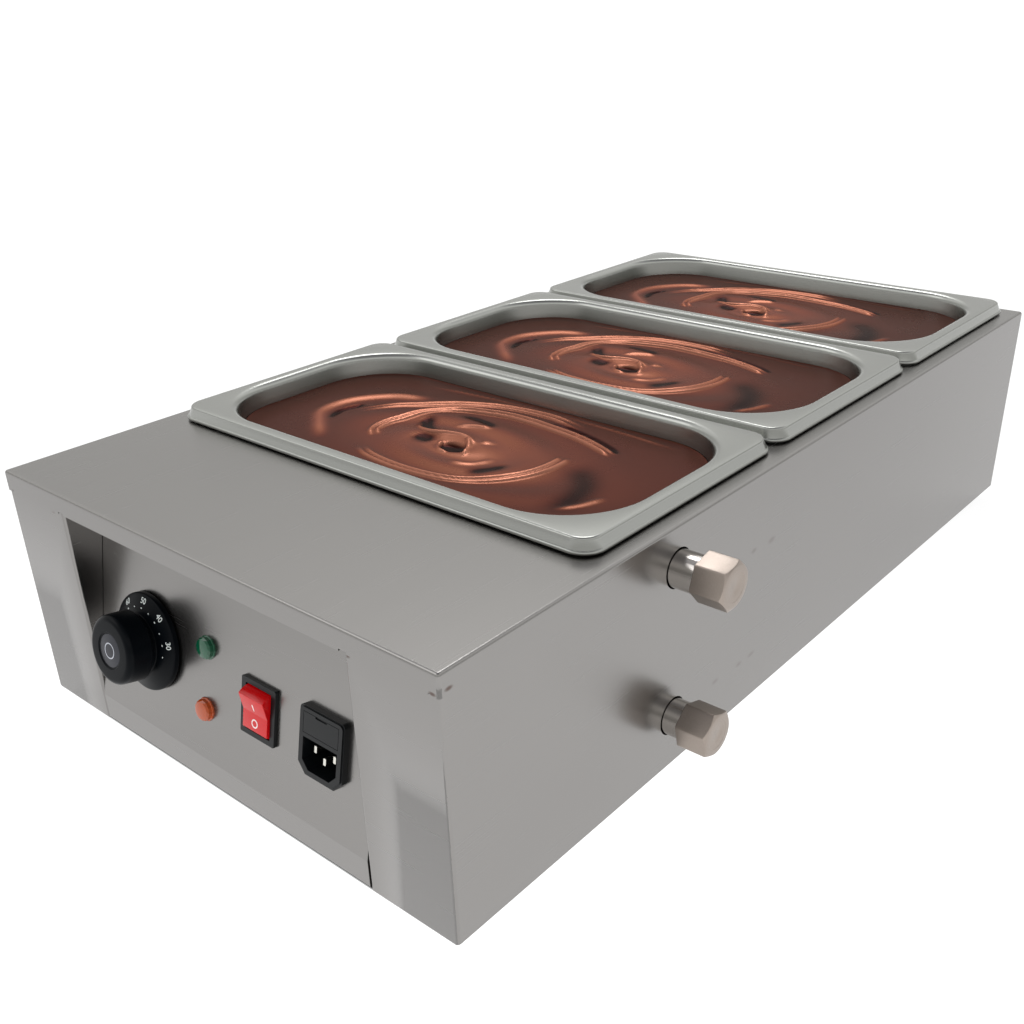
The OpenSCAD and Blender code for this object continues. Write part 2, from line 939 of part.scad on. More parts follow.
module thermostat_body() {
    color("lightgray")
        on_panel(-dial_offset, dial_rise)
            difference() {
                union() {
                    translate([0, 0, -sheet_t - thermostat_deep])
                        centred_box(thermostat_w, thermostat_h, thermostat_deep - thermostat_lug_t);
                    translate([0, 0, -sheet_t - thermostat_lug_t])
                        centred_box(thermostat_w - 2 * thermostat_lug_w, thermostat_h, thermostat_lug_t);
                    for (sx = [-1, 1])
                        translate([sx * thermostat_screw_x, 0, -sheet_t - thermostat_lug_t])
                            cylinder(d = thermostat_lug_w, h = thermostat_lug_t);
                    translate([0, 0, -sheet_t - thermostat_lug_t])
                        cylinder(d = bush_d, h = sheet_t + thermostat_lug_t + bush_proud);
                }
                translate([0, 0, -sheet_t - thermostat_deep / 2])
                    cylinder(d = spindle_d + 2 * shaft_play, h = thermostat_deep + bush_proud + overrun);
                for (sx = [-1, 1])
                    translate([sx * thermostat_screw_x, 0, -sheet_t - thermostat_screw_x])
                        cylinder(d = screw_d + 2 * shaft_play, h = thermostat_deep);
            }
}

module thermostat_screws() {
    color("darkgray")
        for (sx = [-1, 1])
            on_panel(-dial_offset + sx * thermostat_screw_x, dial_rise) {
                cylinder(d1 = m4_head_d, d2 = m4_head_d * flat_share, h = m4_head_h);
                translate([0, 0, -thermostat_screw_x + overrun])
                    cylinder(d = screw_d, h = thermostat_screw_x);
            }
}

// A round bar with a flat along its side from a height upwards, which the knob grips
module flatted_bar(play, length, flat_from) {
    difference() {
        cylinder(d = spindle_d + 2 * play, h = length);
        translate([-spindle_d, spindle_d * (flat_share - 1 / 2) + play, flat_from])
            cube([2 * spindle_d, spindle_d, length]);
    }
}

module dial_spindle() {
    tip = knob_lift + skirt_hollow + hub_bore_deep - shaft_play;
    foot_end = thermostat_deep / 2 + sheet_t - shaft_play;
    color("gainsboro")
        on_panel(-dial_offset, dial_rise, -foot_end)
            flatted_bar(0, foot_end + tip, foot_end + bush_proud);
}

module dial_knob() {
    r_skirt = skirt_d / 2;
    r_grip = grip_d / 2;
    top = knob_h - knob_lift;
    r_top = r_grip - grip_taper;
    round_steps = 5;
    hollow_r = r_skirt - skirt_wall;
    profile = concat(
        [[0, skirt_hollow], [hollow_r, skirt_hollow], [hollow_r, 0], [r_skirt, 0], [r_skirt, skirt_t]],
        [[r_grip + skirt_cone / 2, skirt_t + skirt_cone], [r_grip, skirt_t + skirt_cone]],
        [for (k = [0:round_steps])
            let (a = 90 * k / round_steps)
            [r_top - grip_round + grip_round * cos(a), top - grip_round + grip_round * sin(a)]],
        [[0, top]]
    );
    color("black")
        on_panel(-dial_offset, dial_rise, knob_lift)
            difference() {
                rotate_extrude($fn = 96)
                    polygon(profile);
                translate([0, 0, top - disc_t - disc_sink])
                    cylinder(d = disc_d + 2 * shaft_play, h = disc_t + disc_sink + overrun);
                translate([0, 0, skirt_hollow - overrun])
                    flatted_bar(shaft_play, overrun + hub_bore_deep, 0);
            }
}

module dial_disc() {
    color("silver")
        on_panel(-dial_offset, dial_rise, knob_h - disc_t - disc_sink)
            cylinder(d = disc_d, h = disc_t);
}

// A domed lens with a thin flange against the panel
module lens() {
    dome = lens_d / 5;
    steps = 6;
    rotate_extrude()
        polygon(concat(
            [[0, 0], [lens_flange_d / 2, 0], [lens_flange_d / 2, lens_flange_t], [lens_d / 2, lens_flange_t]],
            [for (k = [0:steps])
                let (a = 90 * k / steps)
                [lens_d / 2 - dome + dome * cos(a), lens_proud - dome / 2 + dome / 2 * sin(a)]],
            [[0, lens_proud]]
        ));
}

module green_lens() {
    color("green")
        on_panel(-lamp_offset, green_rise)
            lens();
}

module orange_lens() {
    color("darkorange")
        on_panel(-lamp_offset, orange_rise)
            lens();
}

module lamp_bodies() {
    color("whitesmoke")
        for (rise = [green_rise, orange_rise])
            on_panel(-lamp_offset, rise) {
                translate([0, 0, -lamp_body_l])
                    cylinder(d = lamp_body_d, h = lamp_body_l);
                for (sx = [-1, 1])
                    translate([
                        sx * lamp_body_d / 4 - lamp_tab_t / 2,
                        -lamp_tab_w / 2,
                        -lamp_body_l - lamp_tab_l
                    ])
                        cube([lamp_tab_t, lamp_tab_w, lamp_tab_l + overrun]);
            }
}

// The fixed part of the switch: a bezel and a body with the pocket that the rocker swings in
module switch_housing() {
    pocket_w = rocker_w + 2 * rocker_play;
    pocket_h = 2 * (rocker_r + rocker_play);
    pocket_deep = pivot_sink + rocker_play
        + rocker_r * sin(asin(rocker_back / rocker_r) + rocker_swing / 2);
    color("black")
        on_panel(switch_offset, switch_rise)
            difference() {
                union() {
                    round_block(bezel_w, bezel_h, bezel_proud, bezel_r);
                    translate([0, 0, -switch_body_deep])
                        centred_box(switch_body_w, switch_body_h, switch_body_deep);
                    for (rise = [-switch_tab_gap, 0, switch_tab_gap])
                        translate([
                            -switch_tab_w / 2,
                            rise - switch_tab_t / 2,
                            -switch_body_deep - switch_tab_l
                        ])
                            cube([switch_tab_w, switch_tab_t, switch_tab_l + overrun]);
                }
                translate([0, 0, -pocket_deep])
                    centred_box(pocket_w, pocket_h, pocket_deep + bezel_proud + overrun);
                translate([-switch_body_w / 2 + switch_wall / 2, 0, -pivot_sink])
                    rotate([0, 90, 0])
                        cylinder(d = pivot_d + 2 * shaft_play, h = switch_body_w - switch_wall);
            }
}

// Where the sloping half of the rocker's face meets the arc of its end
function rocker_end(v, r, a) =
    let (m = tan(a), q = 1 + m * m)
    (-v * m + sqrt(v * v * m * m - q * (v * v - r * r))) / q;

module switch_rocker() {
    a = rocker_swing / 2;
    e = rocker_end(rocker_face, rocker_r, a);
    rim_a = atan2(rocker_face + e * tan(a), e);
    low_a = -asin(rocker_back / rocker_r);
    steps = 5;
    profile = concat(
        [for (k = [0:steps])
            let (b = low_a + (rim_a - low_a) * k / steps)
            rocker_r * [cos(b), sin(b)]],
        [[0, rocker_face]],
        [for (k = [0:steps])
            let (b = rim_a + (low_a - rim_a) * k / steps)
            rocker_r * [-cos(b), sin(b)]]
    );
    color("red")
        on_panel(switch_offset, switch_rise, -pivot_sink) {
            rotate([a, 0, 0])
                along_x(rocker_w)
                    polygon(profile);
            translate([-rocker_w / 2 - pivot_l, 0, 0])
                rotate([0, 90, 0])
                    cylinder(d = pivot_d, h = rocker_w + 2 * pivot_l);
        }
}

// Outline of a plug face: round upper corners and cut lower corners
module plug_outline(w, h, r, c) {
    hull() {
        for (sx = [-1, 1])
            translate([sx * (w / 2 - r), h / 2 - r])
                circle(r = r, $fn = 24);
        polygon([
            [-w / 2 + c, -h / 2],
            [w / 2 - c, -h / 2],
            [w / 2, -h / 2 + c],
            [-w / 2, -h / 2 + c]
        ]);
    }
}

module inlet_housing() {
    color("black")
        on_panel(inlet_offset, inlet_rise)
            difference() {
                union() {
                    linear_extrude(inlet_proud - inlet_edge)
                        plug_outline(inlet_w, inlet_h, inlet_round, inlet_chamfer);
                    linear_extrude(inlet_proud)
                        plug_outline(
                            inlet_w - 2 * inlet_edge,
                            inlet_h - 2 * inlet_edge,
                            inlet_round,
                            inlet_chamfer
                        );
                    translate([0, 0, -inlet_body_deep])
                        centred_box(inlet_body_w, inlet_body_h, inlet_body_deep);
                }
                translate([0, -socket_drop, inlet_proud - socket_depth])
                    linear_extrude(socket_depth + overrun)
                        polygon([
                            [-socket_w / 2, socket_h / 2],
                            [-socket_w / 2, -socket_h / 2 + socket_chamfer],
                            [-socket_w / 2 + socket_chamfer, -socket_h / 2],
                            [socket_w / 2 - socket_chamfer, -socket_h / 2],
                            [socket_w / 2, -socket_h / 2 + socket_chamfer],
                            [socket_w / 2, socket_h / 2]
                        ]);
                // Slot for the drawer's tray, and a recess for its face
                translate([0, drawer_rise, inlet_proud - drawer_face_t - drawer_tray_l - drawer_play])
                    centred_box(
                        drawer_tray_w + 2 * drawer_play,
                        drawer_tray_h + 2 * drawer_play,
                        drawer_face_t + drawer_tray_l + drawer_play + overrun
                    );
                translate([0, drawer_rise, inlet_proud - drawer_face_t])
                    centred_box(
                        drawer_w + 2 * drawer_play,
                        drawer_h + 2 * drawer_play,
                        drawer_face_t + overrun
                    );
                inlet_pin_places()
                    translate([0, 0, -inlet_body_deep - inlet_proud])
                        centred_box(pin_w + 2 * shaft_play, pin_h + 2 * shaft_play, inlet_body_deep);
            }
}

// Puts children at the three pins, in the inlet's own frame
module inlet_pin_places() {
    for (p = [[-pin_x, 0], [0, -earth_pin_drop], [pin_x, 0]])
        translate([p[0], p[1] - socket_drop + earth_pin_drop / 2, 0])
            children();
}

module inlet_pins() {
    back = inlet_proud - socket_depth;
    color("gainsboro")
        on_panel(inlet_offset, inlet_rise)
            inlet_pin_places()
                translate([0, 0, -inlet_body_deep - pin_tail])
                    centred_box(pin_w, pin_h, inlet_body_deep + pin_tail + back + pin_out);
}

module fuse_drawer() {
    fuse_seat = fuse_cap_d + 2 * shaft_play;
    color("black")
        on_panel(inlet_offset, inlet_rise + drawer_rise, inlet_proud)
            difference() {
                union() {
                    translate([0, 0, -drawer_face_t])
                        centred_box(drawer_w, drawer_h, drawer_face_t);
                    translate([0, 0, -drawer_face_t - drawer_tray_l])
                        centred_box(drawer_tray_w, drawer_tray_h, drawer_tray_l);
                }
                translate([0, drawer_tray_h / 4, -drawer_face_t - drawer_wall - fuse_seat])
                    centred_box(fuse_l + 2 * shaft_play, drawer_tray_h, fuse_seat);
                // Finger notch along the top of the face
                translate([0, drawer_h / 2, 0])
                    rotate([0, 90, 0])
                        translate([0, 0, -drawer_tray_h / 2])
                            cylinder(r = drawer_notch_r, h = drawer_tray_h);
            }
}

module fuse() {
    color("lightcyan")
        on_panel(
            inlet_offset,
            inlet_rise + drawer_rise - drawer_tray_h / 4 + fuse_cap_d / 2 + seat_gap,
            inlet_proud - drawer_face_t - drawer_wall - fuse_cap_d / 2 - shaft_play
        )
            rotate([0, 90, 0]) {
                translate([0, 0, -fuse_l / 2])
                    cylinder(d = fuse_d, h = fuse_l);
                for (z = [-fuse_l / 2, fuse_l / 2 - fuse_cap_l])
                    translate([0, 0, z])
                        cylinder(d = fuse_cap_d, h = fuse_cap_l);
            }
}

module terminal_block() {
    w = block_ways * way_w;
    color("ivory")
        translate([-block_x, vent_y, z_floor])
            difference() {
                union() {
                    centred_box(w, block_l, block_h - block_step);
                    for (k = [0:block_ways - 1])
                        translate([(k - (block_ways - 1) / 2) * way_w, 0, 0])
                            centred_box(way_w - 2 * sheet_t, block_l / 2, block_h);
                }
                for (k = [0:block_ways - 1])
                    translate([(k - (block_ways - 1) / 2) * way_w, 0, block_h - block_step])
                        cylinder(d = block_screw_d + 2 * shaft_play, h = block_step + overrun);
            }
}

module terminal_screws() {
    color("goldenrod")
        translate([-block_x, vent_y, z_floor])
            for (k = [0:block_ways - 1])
                translate([(k - (block_ways - 1) / 2) * way_w, 0, block_h - block_step])
                    cylinder(d = block_screw_d, h = block_step - sheet_t);
}

module earth_stud() {
    color("goldenrod")
        translate([x_wall - earth_inset, vent_y, z_floor]) {
            cylinder(d = earth_d, h = earth_l);
            hex_bar(earth_nut_af, earth_nut_t);
        }
}

// A stub of pipe along z from the outside of the tank wall, with its collar and its threaded end
module stub(reach) {
    barrel = x_wall + reach - x_tank;
    thread = cap_l - cap_end_t - washer_t;
    difference() {
        union() {
            translate([0, 0, -sheet_t - stub_tail])
                cylinder(d = pipe_d, h = sheet_t + stub_tail + barrel);
            translate([0, 0, gasket_t])
                cylinder(d = collar_d, h = collar_t);
            cylinder(d = pipe_d - 2 * thread_relief, h = barrel + thread);
        }
        translate([0, 0, -sheet_t - stub_tail - overrun])
            cylinder(d = pipe_bore, h = sheet_t + stub_tail + barrel + thread + 2 * overrun);
    }
}

module drain_stub() {
    color("silver")
        at_stub(x_tank, drain_z)
            stub(drain_reach);
}

module overflow_stub() {
    color("silver")
        at_stub(x_tank, overflow_z)
            stub(overflow_reach);
}

module stub_gaskets() {
    color("firebrick")
        for (z = [drain_z, overflow_z])
            at_stub(x_tank, z)
                difference() {
                    cylinder(d = collar_d, h = gasket_t);
                    translate([0, 0, -overrun])
                        cylinder(d = pipe_d + 2 * shaft_play, h = gasket_t + 2 * overrun);
                }
}

module stub_locknuts() {
    color("goldenrod")
        for (z = [drain_z, overflow_z])
            at_stub(tank_hx - locknut_t, z)
                rotate([0, 0, 30])
                    difference() {
                        hex_bar(locknut_af, locknut_t);
                        translate([0, 0, -overrun])
                            cylinder(d = pipe_d + 2 * shaft_play, h = locknut_t + 2 * overrun);
                    }
}

// A blind hexagonal cap along z from its open end, chamfered round its closed end
module cap(turn) {
    r_wide = cap_af / 2 / cos(30) + cap_chamfer_r;
    r_end = cap_af / 2 - cap_chamfer_r;
    lean = (r_wide - r_end) / cap_chamfer_h;
    difference() {
        intersection() {
            rotate([0, 0, turn])
                hex_bar(cap_af, cap_l);
            rotate_extrude()
                polygon([
                    [0, -overrun],
                    [r_wide, -overrun],
                    [r_wide, cap_l - cap_chamfer_h],
                    [r_end - lean * overrun, cap_l + overrun],
                    [0, cap_l + overrun]
                ]);
        }
        translate([0, 0, -overrun])
            cylinder(d = pipe_d - 2 * thread_relief + 2 * shaft_play, h = cap_l - cap_end_t + overrun);
    }
}

module drain_cap() {
    color("rosybrown")
        at_stub(x_wall + drain_reach, drain_z)
            cap(drain_cap_turn);
}

module overflow_cap() {
    color("rosybrown")
        at_stub(x_wall + overflow_reach, overflow_z)
            cap(overflow_cap_turn);
}

// A flat washer in the blind end of a cap
module cap_washer() {
    translate([0, 0, cap_l - cap_end_t - washer_t])
        difference() {
            cylinder(d = pipe_d - 2 * thread_relief, h = washer_t);
            translate([0, 0, -overrun])
                cylinder(d = pipe_bore, h = washer_t + 2 * overrun);
        }
}

module drain_cap_washer() {
    color("black")
        at_stub(x_wall + drain_reach, drain_z)
            cap_washer();
}

module overflow_cap_washer() {
    color("black")
        at_stub(x_wall + overflow_reach, overflow_z)
            cap_washer();
}

// A rounded rectangle of points at one height
function corner_ring(hx, hy, r, z) = [
    for (c = [0:3], i = [0:corner_steps])
        let (
            a = 90 * c + 90 * i / corner_steps,
            sx = (c == 0 || c == 3) ? 1 : -1,
            sy = c < 2 ? 1 : -1
        )
        [sx * (hx - r) + r * cos(a), sy * (hy - r) + r * sin(a), z]
];

// Half sizes and corner radius of the pan's inner wall at a depth under the rim
function wall_inset(depth) =
    wall_draw * depth / pan_depth + (depth > shoulder_drop + shoulder_slope / 2 ? shoulder_step : 0);

// A ring of the pan's wall, grown outwards by a thickness
function wall_ring(depth, grow, lift = 0) =
    let (d = wall_inset(depth))
    corner_ring(mouth_hx - d + grow, mouth_hy - d + grow, mouth_r - d + grow, z_rim - depth + lift);

// Rings over the rolled rim, from the foot that rests on the deck to the mouth
function rim_rings() =
    let (
        hx = pan_w / 2,
        hy = pan_l / 2,
        zs = z_deck + seat_gap,
        edge = function(inset, z) corner_ring(hx - inset, hy - inset, rim_r - inset * 0.6, z),
        mouth = function(grow, z) corner_ring(mouth_hx + grow, mouth_hy + grow, mouth_r + grow, z)
    )
    [
        edge(skirt_back + skirt_foot, z_rim - pan_t),
        edge(skirt_back + skirt_foot, zs),
        edge(skirt_back, zs),
        edge(skirt_back, zs + bead_lift),
        edge(bead_out / 4, zs + bead_lift),
        edge(0, zs + bead_lift + bead_h / 4),
        edge(0, zs + bead_lift + bead_h * 3 / 4),
        edge(bead_out, zs + bead_lift + bead_h),
        edge(bead_out, z_rim - rim_fold_r),
        edge(bead_out + rim_fold_r * (1 - cos(45)), z_rim - rim_fold_r * (1 - sin(45))),
        edge(bead_out + rim_fold_r, z_rim),
        mouth(mouth_fold_r, z_rim),
        mouth(mouth_fold_r * (1 - cos(60)), z_rim - mouth_fold_r * (1 - sin(60))),
        mouth(mouth_fold_r * (1 - cos(30)), z_rim - mouth_fold_r * (1 - sin(30))),
        mouth(0, z_rim - mouth_fold_r)
    ];

// Rings on the underside of the rounded edge between the wall and the rim, from the wall upwards
function mouth_backing() =
    let (r = mouth_fold_r - pan_t)
    [for (a = [0, 45, 90])
        let (grow = mouth_fold_r - r * cos(a))
        corner_ring(
            mouth_hx + grow,
            mouth_hy + grow,
            mouth_r + grow,
            z_rim - mouth_fold_r + r * sin(a)
        )];

// Rings from the inner wall down to the rounded floor; grow moves them outwards for the outer skin
function wall_rings(grow) =
    let (
        floor_z = z_pan_bottom + pan_t - grow,
        r = floor_r + grow,
        low = pan_depth - floor_r,
        d = wall_inset(low),
        curve = function(a) corner_ring(
            mouth_hx - d + grow - r * (1 - cos(a)),
            mouth_hy - d + grow - r * (1 - cos(a)),
            mouth_r - d + grow - r * (1 - cos(a)),
            floor_z + r * (1 - sin(a))
        )
    )
    [
        wall_ring(shoulder_drop, grow),
        wall_ring(shoulder_drop + shoulder_slope, grow),
        curve(0),
        curve(30),
        curve(60),
        curve(90)
    ];

module pan(y) {
    outside = wall_rings(pan_t);
    rings = concat(
        [for (i = [len(outside) - 1:-1:0]) outside[i]],
        mouth_backing(),
        rim_rings(),
        wall_rings(0)
    );
    color("silver")
        translate([0, y, 0])
            loft(rings);
}

// A rounded rectangle with extra points along its sides, so that its surface can carry relief
function fill_ring(hx, hy, r) = [
    for (c = [0:3])
        let (
            sx = (c == 0 || c == 3) ? 1 : -1,
            sy = c < 2 ? 1 : -1,
            steps = c % 2 == 0 ? long_steps : short_steps,
            corner = [sx * (hx - r), sy * (hy - r)],
            end = corner + r * [cos(90 * c + 90), sin(90 * c + 90)],
            next = c == 0 ? [-(hx - r), hy]
                : c == 1 ? [-hx, -(hy - r)]
                : c == 2 ? [hx - r, -hy]
                : [hx, hy - r]
        )
        each concat(
            [for (i = [0:corner_steps])
                let (a = 90 * c + 90 * i / corner_steps)
                corner + r * [cos(a), sin(a)]],
            [for (k = [1:1:steps - 1]) end + (next - end) * k / steps]
        )
];

// Height of the stirred surface: one spiral wave that dies out, round a small dip
function swirl(x, y, centre) =
    let (
        u = (x - centre[0]) / swirl_stretch,
        v = y - centre[1],
        d = norm([u, v]),
        spread = d / swirl_reach
    )
    swirl_h * exp(-spread * spread) * sin(360 * d / swirl_wave - atan2(v, u))
    - swirl_dip * exp(-d * d / (swirl_dip_r * swirl_dip_r));

module chocolate(y, centre) {
    top_drop = fill_drop;
    d_top = wall_inset(top_drop);
    low = pan_depth - floor_r;
    d_low = wall_inset(low);
    floor_z = z_pan_bottom + pan_t + seat_gap;
    side = function(d, dz) [for (p = fill_ring(
        mouth_hx - d - seat_gap, mouth_hy - d - seat_gap, mouth_r - d - seat_gap
    )) [p[0], p[1], dz]];
    outline = fill_ring(mouth_hx - d_top - seat_gap, mouth_hy - d_top - seat_gap, mouth_r - d_top - seat_gap);
    curve = function(a) side(
        d_low + floor_r * (1 - cos(a)),
        floor_z + floor_r * (1 - sin(a))
    );
    step_d = wall_inset(shoulder_drop + shoulder_slope);
    lower = [
        curve(90),
        curve(60),
        curve(30),
        curve(0),
        side(step_d, z_rim - shoulder_drop - shoulder_slope),
        side(step_d, z_rim - shoulder_drop),
        [for (p = outline) [p[0], p[1], z_fill + swirl_edge_rise]]
    ];
    top = [
        for (k = [1:fill_rings])
            let (
                last = k == fill_rings,
                s = last ? eye_share : 1 - (1 - eye_share) * k / fill_rings
            )
            [for (p = outline)
                let (
                    q = s * p + (1 - s) * centre,
                    h = last ? -swirl_dip / 2 : swirl(q[0], q[1], centre)
                )
                [q[0], q[1], z_fill + h]]
    ];
    color("saddlebrown")
        translate([0, y, 0])
            loft(concat(lower, top), fanned = true);
}

module foot_front_left() { foot_at(-1, -1); }
module foot_front_right() { foot_at(1, -1); }
module foot_rear_left() { foot_at(-1, 1); }
module foot_rear_right() { foot_at(1, 1); }
module pan_front() { pan(pan_y[0]); }
module pan_middle() { pan(pan_y[1]); }
module pan_rear() { pan(pan_y[2]); }
module chocolate_front() { chocolate(pan_y[0], swirl_centres[0]); }
module chocolate_middle() { chocolate(pan_y[1], swirl_centres[1]); }
module chocolate_rear() { chocolate(pan_y[2], swirl_centres[2]); }

casing();
rear_panel();
control_panel();
base_plate();
water_tank();
foot_front_left();
foot_front_right();
foot_rear_left();
foot_rear_right();
foot_screws();
base_screws();
base_nuts();
heating_element();
heater_glands();
sensor_bulb();
sensor_gland();
capillary_tube();
thermostat_body();
thermostat_screws();
dial_spindle();
dial_knob();
dial_disc();
green_lens();
orange_lens();
lamp_bodies();
switch_housing();
switch_rocker();
inlet_housing();
inlet_pins();
fuse_drawer();
fuse();
terminal_block();
terminal_screws();
earth_stud();
drain_stub();
overflow_stub();
stub_gaskets();
stub_locknuts();
drain_cap();
drain_cap_washer();
overflow_cap();
overflow_cap_washer();
pan_front();
pan_middle();
pan_rear();
chocolate_front();
chocolate_middle();
chocolate_rear();
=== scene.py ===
"""Water-bath chocolate melting pot with three lift-out pans, dressed for a studio picture.

Every size is in millimetres in the frame of the CAD model and becomes metres where a mesh is made.
The front faces -Y, +X is to the right, +Z is up and the feet stand on z = 0.
"""

import json
import logging
import math
from dataclasses import dataclass
from enum import Enum

import bmesh
import bpy
import numpy as np
from mathutils import Matrix


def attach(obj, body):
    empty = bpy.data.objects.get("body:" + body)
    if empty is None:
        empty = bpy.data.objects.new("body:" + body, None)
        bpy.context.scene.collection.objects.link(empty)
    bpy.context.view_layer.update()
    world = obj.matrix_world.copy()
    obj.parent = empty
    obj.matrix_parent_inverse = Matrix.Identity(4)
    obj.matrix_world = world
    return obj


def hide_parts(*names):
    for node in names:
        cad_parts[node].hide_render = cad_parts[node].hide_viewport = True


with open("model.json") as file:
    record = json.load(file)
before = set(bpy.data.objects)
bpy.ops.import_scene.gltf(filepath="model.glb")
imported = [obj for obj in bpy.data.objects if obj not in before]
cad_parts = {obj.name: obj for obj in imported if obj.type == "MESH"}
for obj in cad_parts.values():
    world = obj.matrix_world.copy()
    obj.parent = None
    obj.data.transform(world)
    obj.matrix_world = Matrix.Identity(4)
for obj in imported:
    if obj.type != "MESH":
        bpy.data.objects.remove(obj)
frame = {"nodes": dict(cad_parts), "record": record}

LOG = logging.getLogger("melting_pot")
MM = 0.001
Hex = str
Array = np.ndarray
Pair = tuple[float, float]
Triple = tuple[float, float, float]
Node = bpy.types.Node
Socket = bpy.types.NodeSocket
Tree = bpy.types.NodeTree
Material = bpy.types.Material
Mesh = bpy.types.Mesh
Thing = bpy.types.Object


def linear(colour: Hex) -> tuple[float, float, float, float]:
    """Turns an sRGB colour into the linear values that shaders take, by the sRGB standard's curve.

    Args:
        colour: six hex digits after a hash.

    Returns:
        Linear red, green and blue, and an alpha of 1.
    """
    srgb = np.array([int(colour[i : i + 2], 16) for i in (1, 3, 5)]) / 255
    low, high = srgb / 12.92, ((srgb + 0.055) / 1.055) ** 2.4
    return (*np.where(srgb <= 0.04045, low, high).tolist(), 1.0)


def add(
    tree: Tree, kind: str, inputs: dict | None = None, stops: tuple = (), **own: object
) -> Node:
    """Adds one node to a tree.

    Args:
        tree: the tree that gets the node.
        kind: the node's type, without ShaderNode before it.
        inputs: for each input's name or number, a plain value or the output that feeds it.
        stops: position and colour of each stop, for a node that has a ramp.
        own: the node's own settings.

    Returns:
        The new node.
    """
    node = tree.nodes.new("ShaderNode" + kind)
    for name, value in own.items():
        setattr(node, name, value)
    for place, (position, colour) in enumerate(stops):
        ramp = node.color_ramp.elements
        stop = ramp[place] if place < len(ramp) else ramp.new(position)
        stop.position, stop.color = position, linear(colour)
    for name, value in (inputs or {}).items():
        if isinstance(value, Socket):
            tree.links.new(value, node.inputs[name])
        else:
            node.inputs[name].default_value = value
    return node


# Frames and surfaces


def swung(first: Triple, second: Triple, degrees: float) -> tuple[Triple, Triple]:
    """Turns two axes in their plane, the first towards the second.

    Args:
        first: a unit axis.
        second: the unit axis a quarter turn on.
        degrees: how far they turn.

    Returns:
        Both axes, turned.
    """
    a, one, two = math.radians(degrees), np.array(first), np.array(second)
    return (
        tuple(math.cos(a) * one + math.sin(a) * two),
        tuple(math.cos(a) * two - math.sin(a) * one),
    )


@dataclass(frozen=True)
class Place:
    """A local frame in the whole object's frame: its origin in millimetres and its unit axes."""

    origin: Triple = (0.0, 0.0, 0.0)
    x: Triple = (1.0, 0.0, 0.0)
    y: Triple = (0.0, 1.0, 0.0)
    z: Triple = (0.0, 0.0, 1.0)

    def put(self, points: Array) -> Array:
        """Takes points from this local frame to the frame of the whole object."""
        return np.asarray(self.origin) + points @ np.array([self.x, self.y, self.z])

    def moved(self, x: float = 0.0, y: float = 0.0, z: float = 0.0) -> "Place":
        """Gives the same frame with its origin moved along its own axes."""
        return Place(tuple(self.put(np.array([x, y, z], float))), self.x, self.y, self.z)

    def turned(self, degrees: float) -> "Place":
        """Gives the same frame turned about its own z axis."""
        return Place(self.origin, *swung(self.x, self.y, degrees), self.z)

    def tilted(self, degrees: float) -> "Place":
        """Gives the same frame turned about its own x axis."""
        return Place(self.origin, self.x, *swung(self.y, self.z, degrees))


PANEL_TILT = math.radians(11.6)
# The leaning panel: x across, y up the slope from the toe's fold, z out of its face
PANEL = Place(
    (0.0, -326.5, 26.0),
    (1.0, 0.0, 0.0),
    (0.0, math.sin(PANEL_TILT), math.cos(PANEL_TILT)),
    (0.0, -math.cos(PANEL_TILT), math.sin(PANEL_TILT)),
)
# The row in which both pipes come out of the right wall
PIPE_Y = -154.5


def pipe_place(x: float, z: float) -> Place:
    """Gives the frame of a pipe in the right wall: z along the pipe, y to the back."""
    return Place((x, PIPE_Y, z), (0.0, 0.0, -1.0), (0.0, 1.0, 0.0), (1.0, 0.0, 0.0))


@dataclass
class Skin:
    """A surface's points, its faces in arrays of one width each, and their corners' flat map."""

    points: Array
    faces: list[Array]
    runs: list[Array]

    def outward(self) -> "Skin":
        """Turns every face round where the closed skin's signed volume is negative.

        Returns:
            The same skin.
        """
        volume = 0.0
        for part in self.faces:
            a = self.points[part[:, 0]]
            for k in range(1, part.shape[1] - 1):
                b, c = self.points[part[:, k]], self.points[part[:, k + 1]]
                volume += np.einsum("ij,ij->", a, np.cross(b, c))
        if volume < 0:
            self.faces = [part[:, ::-1] for part in self.faces]
            self.runs = [run[:, ::-1] for run in self.runs]
        return self


def joined(skins: list[Skin]) -> Skin:
    """Puts several skins into one.

    Args:
        skins: the skins, each of which keeps its own points.

    Returns:
        One skin.
    """
    starts = np.cumsum([0] + [len(s.points) for s in skins])
    faces = [part + start for s, start in zip(skins, starts) for part in s.faces]
    return Skin(np.vstack([s.points for s in skins]), faces, [run for s in skins for run in s.runs])


